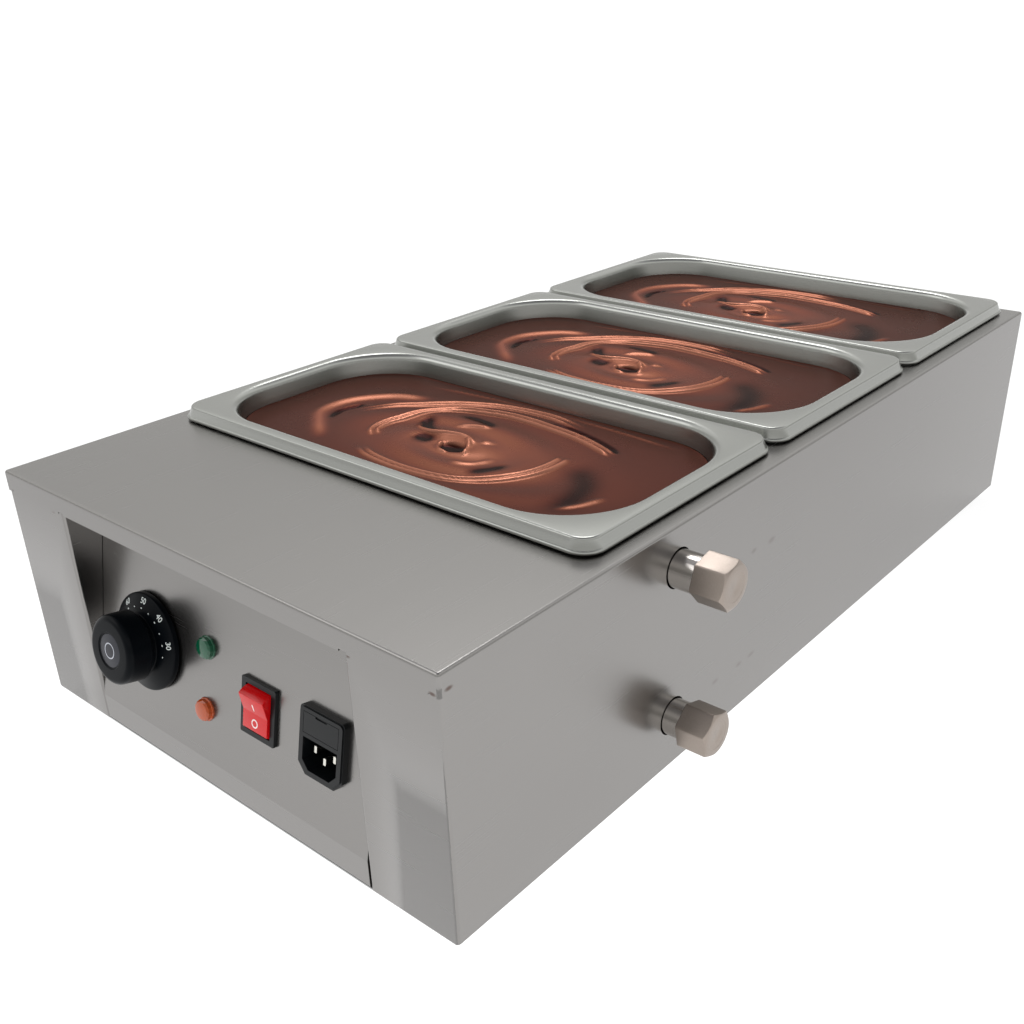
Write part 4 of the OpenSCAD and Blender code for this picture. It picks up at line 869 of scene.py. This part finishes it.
@dataclass
class Pan:
    """A drawn steel pan with a rolled rim, in the shape of its CAD node but with finer curves.

    Each ring is a rounded rectangle. The profile goes from the floor's middle up the inner wall,
    over the mouth's rounded edge, across the flat rim, down the outer band to the bead and back
    under it to the outer wall.
    """

    node: str
    body: str
    y: float
    half: Pair = (162.5, 88.0)
    rim_r: float = 13.0
    rim_r_share: float = 0.6
    mouth: Triple = (150.0, 75.5, 49.0)
    top: float = 165.0
    sheet: float = 0.8
    draw: float = 12.0
    depth: float = 100.0
    waist: float = 60.0
    shoulder: Triple = (30.0, 2.4, 1.4)
    floor_r: float = 12.0
    mouth_fold: float = 4.6
    rim_fold: float = 1.4
    bead: Triple = (1.0, 2.4, 0.4)
    flare: float = 1.6
    skirt: Pair = (3.4, 1.4)
    deck: float = 156.3

    def _wall(self, depth: Array, grow: float) -> Array:
        """Gives stations of the wall, which leans in evenly and steps in below its shoulder.

        Args:
            depth: how far each station lies under the rim.
            grow: how far the surface lies outside the inner wall.

        Returns:
            The stations, as rounded_rings takes them.
        """
        drop, slope, step = self.shoulder
        inset = self.draw * depth / self.depth + step * np.clip((depth - drop) / slope, 0, 1)
        hx, hy, r = (size - inset + grow for size in self.mouth)
        return np.stack([hx, hy, r, self.top - depth], -1)

    def _floor(self, grow: float) -> Array:
        """Gives stations of the quarter round between wall and floor, from the wall downwards.

        Args:
            grow: how far the surface lies outside the inner wall.

        Returns:
            The stations.
        """
        a = np.linspace(0, np.pi / 2, 9)
        sizes = self._wall(np.array([self.depth - self.floor_r]), grow)[0][:3]
        radius = self.floor_r + grow
        bottom = self.top - self.depth + self.sheet - grow
        hx, hy, r = (size - radius * (1 - np.cos(a)) for size in sizes)
        return np.stack([hx, hy, r, bottom + radius * (1 - np.sin(a))], -1)

    def _mouth_edge(self, grow: float) -> Array:
        """Gives stations of the rounded edge between wall and flat rim, from the wall upwards.

        Args:
            grow: how far the surface lies outside the inner wall.

        Returns:
            The stations.
        """
        a = np.linspace(0, np.pi / 2, 8)
        radius = self.mouth_fold - grow
        hx, hy, r = (size + self.mouth_fold - radius * np.cos(a) for size in self.mouth)
        return np.stack([hx, hy, r, self.top - self.mouth_fold + radius * np.sin(a)], -1)

    def _band(self) -> Array:
        """Gives stations from the rim's edge down the band, round the bead and behind the skirt.

        Returns:
            The stations.
        """
        out, height, lift = self.bead
        back, foot = self.skirt
        a = np.linspace(np.pi / 2, 0, 6)
        fold = self.rim_fold
        inset, z = out + self.flare + fold * (1 - np.cos(a)), self.top - fold * (1 - np.sin(a))
        rim = np.stack([inset, z], -1)
        z0 = self.deck + lift
        b = np.linspace(np.pi / 2, -np.pi / 2, 9)
        roll = np.stack([out - out * np.cos(b), z0 + height / 2 * (1 + np.sin(b))], -1)
        under = self.top - self.sheet
        behind = [[back, z0], [back, self.deck], [back + foot, self.deck], [back + foot, under]]
        inset, z = np.vstack([rim, roll, behind]).T
        corner = self.rim_r - self.rim_r_share * inset
        return np.stack([self.half[0] - inset, self.half[1] - inset, corner, z], -1)

    def build(self) -> None:
        """Makes the pan and lets it stand for its CAD node."""
        drop, slope, _ = self.shoulder
        upper = np.linspace(self.mouth_fold, drop, 6)
        steps = drop + slope * np.array([0.25, 0.5, 0.75, 1.0])
        depths = np.concatenate([upper, steps, [self.waist]])
        stations = [
            self._floor(0.0)[::-1],
            self._wall(depths[::-1], 0.0)[:-1],
            self._mouth_edge(0.0),
            self._band(),
            self._mouth_edge(self.sheet)[::-1],
            self._wall(depths, self.sheet)[1:],
            self._floor(self.sheet),
        ]
        skin = loft(rounded_rings(np.vstack(stations), 16, 8))
        mesh = mesh_of(self.node + "_drawn", skin, Place((0.0, self.y, 0.0)), 35)
        settle(mesh, PAN, self.body, (self.node,))


@dataclass(frozen=True)
class Fold:
    """A fold left in the chocolate by stirring.

    The fold follows a smooth curve through its points. Its height falls off from the curve as
    exp(-((d-split)/width)^2) and fades towards both ends, so a split fold is a pair of crests on
    both sides of the curve. Sizes are in millimetres.
    """

    points: tuple[Pair, ...]
    width: float
    height: float
    split: float = 0.0
    # Painted light: a positive tone paints the fold paler as highlight, a negative one paints it
    # darker as shade
    tone: float = 0.0
    fade: float = 0.2

    def _curve(self) -> Array:
        """Gives the smooth curve: a Catmull-Rom spline with 12 steps a span.

        Returns:
            The points of the curve.
        """
        p = np.array(self.points)
        p = np.vstack([2 * p[0] - p[1], p, 2 * p[-1] - p[-2]])
        t = np.linspace(0, 1, 12, endpoint=False)[None, :, None]
        a, b, c, d = (p[k : len(p) - 3 + k][:, None, :] for k in range(4))
        bend, twist = 2 * a - 5 * b + 4 * c - d, 3 * b - a - 3 * c + d
        return (0.5 * (2 * b + (c - a) * t + bend * t**2 + twist * t**3)).reshape(-1, 2)

    def shape_at(self, xy: Array) -> Array:
        """Works out the fold's shape, with a height of 1, at points in the plane.

        Args:
            xy: the points, from the pan's middle.

        Returns:
            The shape at each point, from 0 to 1.
        """
        curve = self._curve()
        way = np.linspace(0, 1, len(curve))
        best, share = np.full(len(xy), 1e9), np.zeros(len(xy))
        for start in range(0, len(curve), 24):
            gap = np.linalg.norm(xy[:, None] - curve[None, start : start + 24], axis=2)
            near = gap.argmin(1)
            value = gap[np.arange(len(xy)), near]
            share = np.where(value < best, way[start + near], share)
            best = np.minimum(value, best)
        fade = np.clip(np.minimum(share, 1 - share) / self.fade, 0, 1)
        fade = fade * fade * (3 - 2 * fade)
        return np.exp(-(((best - self.split) / self.width) ** 2)) * fade


STIRRED = (
    Fold(
        ((-67, 44), (-79, 40), (-95, 32), (-109, 16), (-114, 0), (-111, -16), (-97, -30),
         (-85, -40), (-74, -50)),
        4.2, 0.9, tone=0.3,
    ),
    Fold(((-97, 12), (-101, 2), (-102, -8), (-96, -24)), 2.0, -0.9, tone=-0.5, fade=0.3),
    Fold(
        ((-93, -2), (-89, 8), (-79, 22), (-67, 32), (-55, 42), (-43, 50), (-27, 58), (-11, 62),
         (5, 64), (21, 64), (35, 62), (51, 57)),
        1.7, 0.75, split=2.2, tone=0.25,
    ),
    Fold(
        ((-52, -24), (-60, -16), (-62, -4), (-59, 8), (-55, 22), (-47, 34), (-35, 42),
         (-19, 47), (-3, 50), (15, 50), (35, 48), (55, 45), (75, 39), (88, 34)),
        1.5, 0.95, split=2.2, tone=0.3, fade=0.06,
    ),
    Fold(((18, 54), (40, 54), (62, 49), (78, 43), (88, 37)), 2.2, -0.9, tone=-0.6, fade=0.25),
    Fold(
        ((-45, 14), (-40, 3), (-31, 0), (-23, 1), (-15, 4), (-5, 6), (5, 3), (13, -2)),
        1.3, 0.9, tone=0.3,
    ),
    Fold(((-47, 24), (-42, 12), (-33, 5), (-22, 4)), 4.5, -0.8, tone=-0.35, fade=0.35),
    Fold(((-34, 32), (-20, 33), (-6, 31), (3, 26)), 3.0, -0.5, tone=-0.3, fade=0.35),
    Fold(((-24, 16), (-15, 22), (-6, 25), (3, 26)), 2.0, 0.5, tone=0.2, fade=0.3),
    Fold(((0, 4), (6, -1), (11, -8), (16, -18)), 1.4, 1.3, tone=0.4, fade=0.2),
    Fold(((-12, -5), (-10, -10), (-7, -14), (-2, -17), (5, -18)), 1.2, 0.7, tone=0.3, fade=0.2),
    Fold(((-34, -12), (-24, -8), (-14, -9)), 6.0, -0.8, tone=-0.4, fade=0.4),
    Fold(((33, -8), (32, -16), (28, -24), (20, -27), (12, -22)), 2.6, 0.8, tone=0.25, fade=0.3),
    Fold(((42, -10), (44, -18), (39, -28), (30, -36)), 4.0, -0.5, tone=-0.3, fade=0.35),
    Fold(((10, 8), (14, 7), (18, 4)), 3.5, 0.6, tone=0.3, fade=0.4),
    Fold(
        ((65, 17), (67, 9), (67, -4), (63, -18), (53, -32), (39, -43), (21, -49), (-5, -51),
         (-31, -48), (-47, -40)),
        1.5, 0.85, split=2.4, tone=0.3, fade=0.1,
    ),
    Fold(((70, 14), (86, 4), (100, -12), (104, -34), (92, -52)), 9.0, -0.35, tone=-0.12, fade=0.3),
    Fold(((119, -14), (113, -30), (103, -44)), 2.0, 0.5, tone=0.25, fade=0.3),
    Fold(((-90, 62), (-40, 68), (20, 70), (70, 68), (120, 64)), 1.6, 0.35, tone=0.12, fade=0.15),
)


@dataclass(frozen=True)
class Patch:
    """A soft oval patch of the chocolate: its middle and its reach in x and y, in millimetres."""

    middle: Pair
    reach: Pair

    def over(self, xy: Array, power: int = 1) -> Array:
        """Gives exp(-s^power) at points, where s is the squared distance counted in reaches."""
        return np.exp(-((((xy - self.middle) / self.reach) ** 2).sum(1) ** power))


@dataclass
class ChocolateFill:
    """The melted chocolate in one pan, with the surface that stirring left.

    The top is a height over a ring-and-ray grid: ray points of the mouth's outline shrink in even
    shares towards the middle of the swirl. Its height is a spiral wave that dies out with
    distance, plus the folds, a small deep eye, and a rim that creeps up the steel. The fold
    attribute holds painted light: a paler tone painted on crests and in a broad sheen as
    highlight, and a darker one painted in grooves and in the eye as shade.
    """

    node: str
    body: str
    y: float
    shift: Pair = (0.0, 0.0)
    level: float = 151.0
    half: Triple = (148.0, 73.5, 47.0)
    # Inset from the top's outline and height of each ring of the lower body, from the floor up
    lower: tuple[Pair, ...] = (
        (22.6, 66.1), (16.6, 67.7), (12.2, 72.1), (10.6, 78.1), (4.1, 132.4), (2.3, 135.2),
    )
    rings: int = 150
    grid: tuple[int, int] = (40, 80)
    swell: float = 1.5
    swirl: Pair = (0.0, -10.0)
    # Painted light: the tone at rest, the strength of the painted sheen and how far the folds paint
    # crests paler and grooves darker
    painted_tones: Triple = (0.17, 0.4, 1.8)
    painted_sheen: Patch = Patch((5.0, -6.0), (75.0, 40.0))
    eye: Patch = Patch((0.5, -10.0), (10.5, 6.0))
    eye_depth: float = 2.6
    # How much painted shade darkens the eye
    eye_painted_shade: float = 0.9
    # Middle and stretch in x of the spiral, and its height, reach, wavelength and calm middle
    spiral: Patch = Patch((0.0, -9.0), (1.9, 1.0))
    wave: tuple[float, float, float, float] = (0.9, 50.0, 25.0, 12.0)
    creep: Triple = (6.0, 0.5, 1.2)
    under_tone: float = 0.3

    def _height(self, xy: Array) -> tuple[Array, Array]:
        """Works out the surface at points from the pan's middle.

        Args:
            xy: the points.

        Returns:
            The height in millimetres and the tone of painted light from 0 to 1.
        """
        own = xy - np.array(self.shift)
        plain, glow, crest = self.painted_tones
        height = np.zeros(len(own))
        # Painted light: a broad painted sheen, paler crests and darker grooves, and painted shade
        # in the eye
        tone = plain + glow * self.painted_sheen.over(own)
        for fold in STIRRED:
            shape = fold.shape_at(own)
            height += self.swell * fold.height * shape
            tone += crest * fold.tone * shape
        hole = self.eye.over(own, 2)
        height -= self.eye_depth * hole
        tone -= self.eye_painted_shade * hole
        off = (own - self.spiral.middle) / self.spiral.reach
        d, turn = np.linalg.norm(off, axis=1), np.arctan2(off[:, 1], off[:, 0])
        high, reach, length, calm = self.wave
        ripple = np.sin(2 * np.pi * d / length - turn) * np.clip(d / calm, 0, 1)
        height += high * np.exp(-((d / reach) ** 2)) * ripple
        return height, np.clip(tone, 0, 1)

    def build(self) -> None:
        """Makes the fill and lets it stand for its CAD node."""
        hx, hy, r = self.half
        outline = rounded_rings(np.array([[hx, hy, r, 0.0]]), *self.grid)[0][:, :2]
        centre = np.array(self.swirl) + np.array(self.shift)
        share = np.linspace(1, 0, self.rings + 1)[:-1]
        flat = (centre + (outline - centre)[None] * share[:, None, None]).reshape(-1, 2)
        height, tone = self._height(flat)
        # How far in a point lies, in hundredths of the way to the swirl's middle
        way = np.repeat((1 - share) * 100.0, len(outline))
        calm, rise, fall = self.creep
        height = height * np.clip(way / calm, 0, 1) + rise * np.exp(-way / fall)
        top = np.concatenate([flat, self.level + height[:, None]], 1).reshape(self.rings, -1, 3)
        inset, z = np.array(self.lower).T
        low = np.stack([hx - inset, hy - inset, r - inset, z], -1)
        pole = np.array([*centre, self.level + self._height(centre[None])[0][0]])
        skin = loft(np.concatenate([rounded_rings(low, *self.grid), top]), last=pole)
        mesh = mesh_of(self.node + "_stirred", skin, Place((0.0, self.y, 0.0)), 60)
        under = np.full(len(low) * len(outline), self.under_tone)
        shade = np.concatenate([under, tone, [self.under_tone, 0.0]]).astype(np.float32)
        mesh.attributes.new("fold", "FLOAT", "POINT").data.foreach_set("value", shade)
        settle(mesh, CHOCOLATE, self.body, (self.node,))


@dataclass
class Knob:
    """The thermostat's dial: a hollow numbered skirt, a necked grip and a plain inlaid disc."""

    place: Place = PANEL.moved(-66.0, 52.0)
    skirt_r: float = 28.0
    skirt_t: float = 3.2
    hollow: Pair = (2.4, 2.2)
    neck_r: float = 16.5
    neck_l: float = 3.6
    grip_r: float = 20.0
    grip_ease: float = 0.8
    grip_taper: float = 0.4
    round_r: float = 3.6
    height: float = 26.0
    lift: float = 0.9
    cone_rise: float = 3.4
    disc_r: float = 9.45
    disc_sunk: float = 0.5
    number_r: float = 24.3
    number_h: float = 3.3
    number_step: float = 38.0
    first_number: float = 14.0
    dot_r: float = 20.3
    dot_step: float = 19.0
    first_dot: float = -5.0
    print_t: float = 0.06

    def _on_cone(self, r: float) -> float:
        """Gives the height of the skirt's sloping face at a radius."""
        rise = (self.skirt_r - r) * self.cone_rise / (self.skirt_r - self.neck_r)
        return self.lift + self.skirt_t + rise

    def _body(self) -> Skin:
        """Makes the skirt and the grip, turned from one profile.

        Returns:
            The closed skin.
        """
        r, g, n, top, z = self.skirt_r, self.grip_r, self.neck_r, self.height, self.lift
        wall, roof = self.hollow
        edge, neck = z + self.skirt_t, z + self.skirt_t + self.cone_rise
        grip = neck + self.neck_l
        lower = [
            [0, z + roof], [r - wall, z + roof], [r - wall, z], [r, z], [r, edge], [n, neck],
            [n, grip], [g - self.grip_ease, grip], [g, grip + self.grip_ease],
            [g - self.grip_taper, top - self.round_r],
        ]
        lower = softened(lower, [0, 0.2, 0.2, 0.4, 0.9, 0.6, 0.4, 0.3, 0.3, 0])
        a = np.linspace(0, np.pi / 2, 10)[1:, None]
        middle = np.array([g - self.grip_taper - self.round_r, top - self.round_r])
        bend = middle + self.round_r * np.hstack([np.cos(a), np.sin(a)])
        sunk = top - self.disc_sunk
        upper = [[10.6, top], [10.2, sunk], [9.55, sunk], [9.55, top - 1.7], [0, top - 1.7]]
        upper = softened(upper, [0, 0.2, 0.1, 0.1, 0], 2)
        return lathe(np.vstack([lower, bend, upper]), 128)

    def _numbers(self) -> Skin:
        """Makes the numbers 30 to 90, each lying on the skirt's slope.

        Returns:
            One skin with all of them.
        """
        slope = math.degrees(math.atan2(self.cone_rise, self.skirt_r - self.neck_r))
        rise = self._on_cone(self.number_r) + self.print_t / 3
        words = []
        for place in range(7):
            turn = self.first_number + self.number_step * place - 90.0
            spot = self.place.turned(turn).moved(0.0, self.number_r, rise)
            words.append((str(30 + 10 * place), spot.tilted(-slope)))
        return lettering(words, self.number_h, self.print_t)

    def _dots(self) -> Skin:
        """Makes the 15 dots inside the numbers, every second one larger.

        Returns:
            One skin with all of them.
        """
        dots = []
        for step in range(15):
            turn = self.first_dot + self.dot_step * step
            spot = self.place.turned(turn).moved(self.dot_r, 0.0, self._on_cone(self.dot_r))
            wide = 0.62 if step % 2 else 0.5
            dot = lathe([[0, 0.0], [wide, 0.0], [wide, 0.05], [0, 0.08]], 20)
            dot.points = spot.put(dot.points)
            dots.append(dot)
        return joined(dots)

    def build(self) -> None:
        """Makes the dial, its print and its disc."""
        body = mesh_of("dial_knob_moulded", self._body(), self.place, 40)
        settle(body, KNOB, "dial", ("dial_knob",))
        settle(mesh_of("dial_numbers", self._numbers(), Place(), 30), PRINT, "dial")
        settle(mesh_of("dial_dots", self._dots(), Place(), 30), PRINT, "dial")
        face, r = self.height - self.disc_sunk, self.disc_r
        disc = softened([[0, face - 1.2], [r, face - 1.2], [r, face], [0, face + 0.25]], 0.2, 3)
        mesh = mesh_of("dial_disc_satin", lathe(disc), self.place, 40)
        settle(mesh, DISC, "dial", ("dial_disc",))
        low, high = face + 0.1, face + 0.26
        ring = hoop([[3.9, low], [4.6, low], [4.6, high], [3.9, high]], 72)
        settle(mesh_of("dial_disc_ring", ring, self.place, 40), DISC_RING, "dial")


@dataclass
class Lens:
    """A pilot lamp's lens: a thin flange, a smooth collar and a dome cut in bright facets."""

    node: str
    finish: Finish
    rise: float
    across: float = -14.0
    r: float = 6.0
    proud: float = 4.4
    facets: int = 12

    def build(self) -> None:
        """Makes the lens: each facet ring is turned by half a facet against the one before."""
        r, top = self.r, self.proud
        rows = np.array([
            [r + 0.7, 0.0], [r + 0.7, 0.8], [r + 0.5, 1.0], [r + 0.05, 1.1], [r, top - 1.5],
            [r - 0.9, top - 0.5], [r - 2.6, top - 0.12], [r - 4.4, top - 0.03],
        ])
        shift = np.array([0, 0, 0, 0, 0, 0.5, 1.0, 1.5])
        a = 2 * np.pi * (np.arange(self.facets)[None] + shift[:, None]) / self.facets
        wide, high = rows[:, :1], np.broadcast_to(rows[:, 1:], a.shape)
        ring = np.stack([wide * np.cos(a), wide * np.sin(a), high], -1)
        skin = loft(ring, first=np.zeros(3), last=np.array([0, 0, top]))
        mesh = mesh_of(self.node + "_cut", skin, PANEL.moved(self.across, self.rise), 12)
        settle(mesh, self.finish, "housing", (self.node,))


@dataclass
class Rocker:
    """The red rocker: a bar with two sloping faces and rounded ends, with its two marks."""

    hinge: Place = PANEL.moved(31.0, 47.0, -2.0)
    width: float = 19.4
    r: float = 12.4
    face: float = 5.6
    back: float = 4.4
    half_swing: float = 10.0
    one: Pair = (0.4, 2.1)
    one_rise: float = 4.0
    ring: Pair = (1.75, 2.45)
    ring_drop: float = 5.6
    print_t: float = 0.08

    def build(self) -> None:
        """Makes the rocker, leaning so that its upper half is proud, and prints its marks.

        The slope z = face + m y meets the end's circle of radius r where y = e, the larger root of
        (1 + m^2) y^2 + 2 face m y + face^2 - r^2 = 0.
        """
        hinge = self.hinge.tilted(self.half_swing)
        m = math.tan(math.radians(self.half_swing))
        q = 1 + m * m
        root = math.sqrt(self.face**2 * m * m - q * (self.face**2 - self.r**2))
        e = (-self.face * m + root) / q
        b = np.linspace(-math.asin(self.back / self.r), math.atan2(self.face + e * m, e), 12)
        side = self.r * np.stack([np.cos(b), np.sin(b)], -1)
        outline = np.vstack([side, [[0.0, self.face]], (side * np.array([-1.0, 1.0]))[::-1]])
        outline = softened(outline, 0.35, 2, closed=True)
        skin = bar(outline, -self.width / 2, self.width / 2, 0.4)
        skin.points = skin.points[:, [2, 0, 1]]
        mesh = mesh_of("switch_rocker_moulded", skin, hinge, 35)
        settle(mesh, RED, "rocker", ("switch_rocker",))
        ridge = hinge.moved(0.0, 0.0, self.face)
        w, h = self.one
        one = bar(np.array([[-w, -h], [w, -h], [w, h], [-w, h]]), 0.0, self.print_t, 0.02)
        one.points = ridge.tilted(self.half_swing).moved(y=self.one_rise).put(one.points)
        r, wide = self.ring
        section = [[r, 0.0], [wide, 0.0], [wide, self.print_t], [r, self.print_t]]
        ring = hoop(section, 48)
        ring.points = ridge.tilted(-self.half_swing).moved(y=-self.ring_drop).put(ring.points)
        settle(mesh_of("switch_marks", joined([one, ring]), Place(), 30), RED_PRINT, "rocker")


@dataclass
class HexCap:
    """A blind hexagonal cap on a pipe end.

    Round the axis the outline is a hexagon with eased corners. Near the blind end a turned cone
    cuts it: each ray keeps its own radius up to where the cone is narrower, and follows the cone
    from there.
    """

    name: str
    x: float
    z: float
    turn: float
    across_flats: float = 24.0
    corner: float = 0.6
    length: float = 18.5
    bore_r: float = 10.25
    bore_end: float = 3.0
    cone_drop: float = 1.8
    cone_over: float = 0.7

    def build(self) -> None:
        """Makes the cap with its bore, its chamfer and two faint turned steps on its face."""
        half, top, bore = self.across_flats / 2, self.length, self.bore_r
        point = half / math.cos(math.radians(30))
        corners = np.radians(np.arange(6) * 60.0)
        hexagon = point * np.stack([np.cos(corners), np.sin(corners)], -1)
        outline = softened(hexagon, self.corner, closed=True).reshape(6, -1, 2)
        legs = np.linspace(0, 1, 9)[:-1][None, :, None]
        flats = outline[:, -1:] * (1 - legs) + np.roll(outline, -1, 0)[:, :1] * legs
        ring = np.concatenate([outline, flats[:, 1:]], 1).reshape(-1, 2)
        reach = np.linalg.norm(ring, axis=1, keepdims=True)
        end = half - self.cone_over
        lean = (point + self.cone_over - end) / self.cone_drop
        meet = top - (reach - end) / lean
        # Radius and height of each ring: the bore, the flats, the cone, the face and its steps
        rows = (
            (bore, top - self.bore_end), (bore, 1.0), (bore + 0.5, 0.0), (reach - 0.35, 0.0),
            (reach, 0.35), (reach, meet - 0.25), (reach - 0.12, meet + 0.05),
            (end + 0.25, top - 0.12), (end - 0.15, top), (8.4, top), (8.2, top - 0.12),
            (3.6, top - 0.12), (3.4, top - 0.2),
        )
        unit, level = ring / reach, np.zeros_like(reach)
        skin = loft(np.stack([np.concatenate([unit * r, level + h], 1) for r, h in rows]))
        place = pipe_place(self.x, self.z).turned(self.turn)
        mesh = mesh_of(self.name + "_machined", skin, place, 22)
        settle(mesh, CAP, self.name.replace("_cap", "_cover"), (self.name,))


@dataclass
class EasedCopy:
    """A copy of a CAD solid with its edges eased by a small bevel, for pieces with openings."""

    node: str
    body: str
    finish: Finish
    ease: float = 0.35
    segments: int = 2
    corner_from: float = 30.0
    crease: float = 50.0

    def _eased(self, edge: bmesh.types.BMEdge) -> bool:
        """Tells whether an edge is one that the tool or the fold would have rounded."""
        corner = math.radians(self.corner_from)
        return len(edge.link_faces) == 2 and edge.calc_face_angle(0) > corner

    def build(self) -> None:
        """Merges the copy's loose triangles, dissolves flat joints and bevels its edges."""
        mesh = frame["nodes"][self.node].data.copy()
        mesh.name = self.node + "_eased"
        work = bmesh.new()
        work.from_mesh(mesh)
        bmesh.ops.remove_doubles(work, verts=work.verts, dist=1e-6)
        flat = math.radians(1)
        bmesh.ops.dissolve_limit(work, angle_limit=flat, verts=work.verts, edges=work.edges)
        bmesh.ops.bevel(
            work,
            geom=[e for e in work.edges if self._eased(e)],
            offset=self.ease * MM,
            segments=self.segments,
            profile=0.5,
            affect="EDGES",
            clamp_overlap=True,
        )
        work.to_mesh(mesh)
        work.free()
        mesh.materials.clear()
        mesh.shade_smooth()
        mesh.set_sharp_from_angle(angle=math.radians(self.crease))
        thing = settle(mesh, self.finish, self.body, (self.node,))
        thing.modifiers.new("even_shading", "WEIGHTED_NORMAL").keep_sharp = True


@dataclass
class FoldedCasing(EasedCopy):
    """The casing, with a sheet's bend radius on its outermost edges, which catch thin light."""

    # Half width, half length and height of the casing
    reach: Triple = (173.0, 326.5, 156.0)
    slack: float = 0.05

    def _eased(self, edge: bmesh.types.BMEdge) -> bool:
        """Picks the deck's outer edge and the upright corners, where two outer faces meet."""
        ends = np.abs([np.array(v.co) / MM for v in edge.verts])
        outer = (ends > np.array(self.reach) - self.slack).all(0)
        return super()._eased(edge) and outer.sum() >= 2


@dataclass
class Studio:
    """The plain pale floor, the soft light and the camera of the photograph.

    The camera was fitted to the photograph: a 36 mm sensor behind a 39.8 mm lens.
    """

    eye: Triple = (0.44509, -0.58790, 0.40008)
    right: Triple = (0.760236, 0.649095, -0.026776)
    up: Triple = (-0.282347, 0.367250, 0.886232)
    back: Triple = (0.585082, -0.666186, 0.462467)
    sensor: float = 36.0
    focal: float = 39.79
    lens_shift: Pair = (-0.00514, 0.0507)
    clip: Pair = (0.01, 200.0)
    floor_size: float = 60.0
    floor_drop: float = 1e-4
    strength: float = 1.35
    # Share of the way from straight down to straight up, and the colour there
    sky: tuple[tuple[float, Hex], ...] = (
        (0.06, "#ffffff"), (0.1, "#c4c4c2"), (0.25, "#bebebc"), (0.36, "#c8c8c6"),
        (0.5, "#f7f7f5"), (0.66, "#ffffff"), (0.8, "#b4b4b6"), (1.0, "#818184"),
    )
    # Name, direction, strength and spread in degrees of each soft lamp
    lamps: tuple[tuple[str, Triple, float, float], ...] = (
        ("key", (-0.36, 0.43, 0.83), 0.9, 24.0),
        ("edge", (-0.585, -0.461, 0.665), 0.25, 30.0),
    )

    def build_floor(self) -> None:
        """Makes a wide flat floor a hair under the feet."""
        h, z = self.floor_size / 2, -self.floor_drop
        mesh = bpy.data.meshes.new("floor")
        mesh.from_pydata([(-h, -h, z), (h, -h, z), (h, h, z), (-h, h, z)], [], [(0, 1, 2, 3)])
        floor = bpy.data.objects.new("floor", mesh)
        bpy.context.scene.collection.objects.link(floor)
        mesh.materials.append(SWEEP.material())

    def build_light(self) -> None:
        """Makes a pale surrounding with a bright band overhead, a key and a weak edge light."""
        world = bpy.data.worlds.new("studio")
        bpy.context.scene.world = world
        world.use_nodes = True
        tree = world.node_tree
        tree.nodes.clear()
        way = add(tree, "TexCoord").outputs["Generated"]
        height = add(tree, "SeparateXYZ", {0: way}).outputs["Z"]
        sky = add(tree, "ValToRGB", {"Fac": height}, stops=self.sky).outputs["Color"]
        glow = add(tree, "Background", {"Color": sky, "Strength": self.strength})
        add(tree, "OutputWorld", {"Surface": glow.outputs["Background"]})
        for name, towards, strength, spread in self.lamps:
            lamp = bpy.data.lights.new(name, "SUN")
            lamp.energy, lamp.angle = strength, math.radians(spread)
            holder = bpy.data.objects.new(name, lamp)
            z = np.array(towards) / np.linalg.norm(towards)
            x = np.cross([0.0, 0.0, 1.0], z)
            x /= np.linalg.norm(x)
            axes = np.stack([x, np.cross(z, x), z], 1)
            holder.matrix_world = Matrix([*([*row, 0.0] for row in axes.tolist()), [0, 0, 0, 1]])
            bpy.context.scene.collection.objects.link(holder)

    def build_camera(self) -> None:
        """Places the camera at the photograph's viewpoint."""
        lens = bpy.data.cameras.new("camera")
        lens.sensor_width, lens.lens = self.sensor, self.focal
        lens.shift_x, lens.shift_y = self.lens_shift
        lens.clip_start, lens.clip_end = self.clip
        camera = bpy.data.objects.new("camera", lens)
        axes = np.stack([self.right, self.up, self.back], 1)
        rows = [[*axes[k].tolist(), self.eye[k]] for k in range(3)]
        camera.matrix_world = Matrix([*rows, [0, 0, 0, 1]])
        bpy.context.scene.collection.objects.link(camera)
        bpy.context.scene.camera = camera

    def build(self) -> None:
        """Makes the whole studio and sets plain colour handling."""
        self.build_floor()
        self.build_light()
        self.build_camera()
        bpy.context.scene.view_settings.view_transform = "Standard"
        bpy.context.scene.view_settings.look = "None"


# Name and y of each pan, and how far the swirl of its chocolate lies from the pan's middle
PANS = (
    ("front", -127.5, (0.0, 0.0)),
    ("middle", 52.0, (-3.0, 3.0)),
    ("rear", 231.5, (-5.0, 2.0)),
)


def main() -> None:
    """Builds and dresses the whole object, piece by piece."""
    logging.basicConfig(level=logging.INFO, format="%(name)s %(message)s")
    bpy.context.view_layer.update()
    Studio().build()
    Carcass().dress()
    for name, y, shift in PANS:
        Pan("pan_" + name, name + "_pan", y).build()
        ChocolateFill("chocolate_" + name, name + "_pan", y, shift).build()
    Knob().build()
    Lens("green_lens", GREEN, 66.0).build()
    Lens("orange_lens", ORANGE, 30.0).build()
    Rocker().build()
    HexCap("drain_cap", 183.0, 41.0, 12.0).build()
    HexCap("overflow_cap", 187.5, 131.5, -18.0).build()
    FoldedCasing("casing", "housing", CASE, 0.8, 3).build()
    EasedCopy("switch_housing", "housing", BLACK, 0.4).build()
    EasedCopy("inlet_housing", "housing", BLACK, 0.4).build()
    EasedCopy("fuse_drawer", "drawer", BLACK, 0.3).build()
    EasedCopy("inlet_pins", "housing", NICKEL, 0.35).build()
    bpy.context.view_layer.update()


if __name__ == "__main__":
    main()
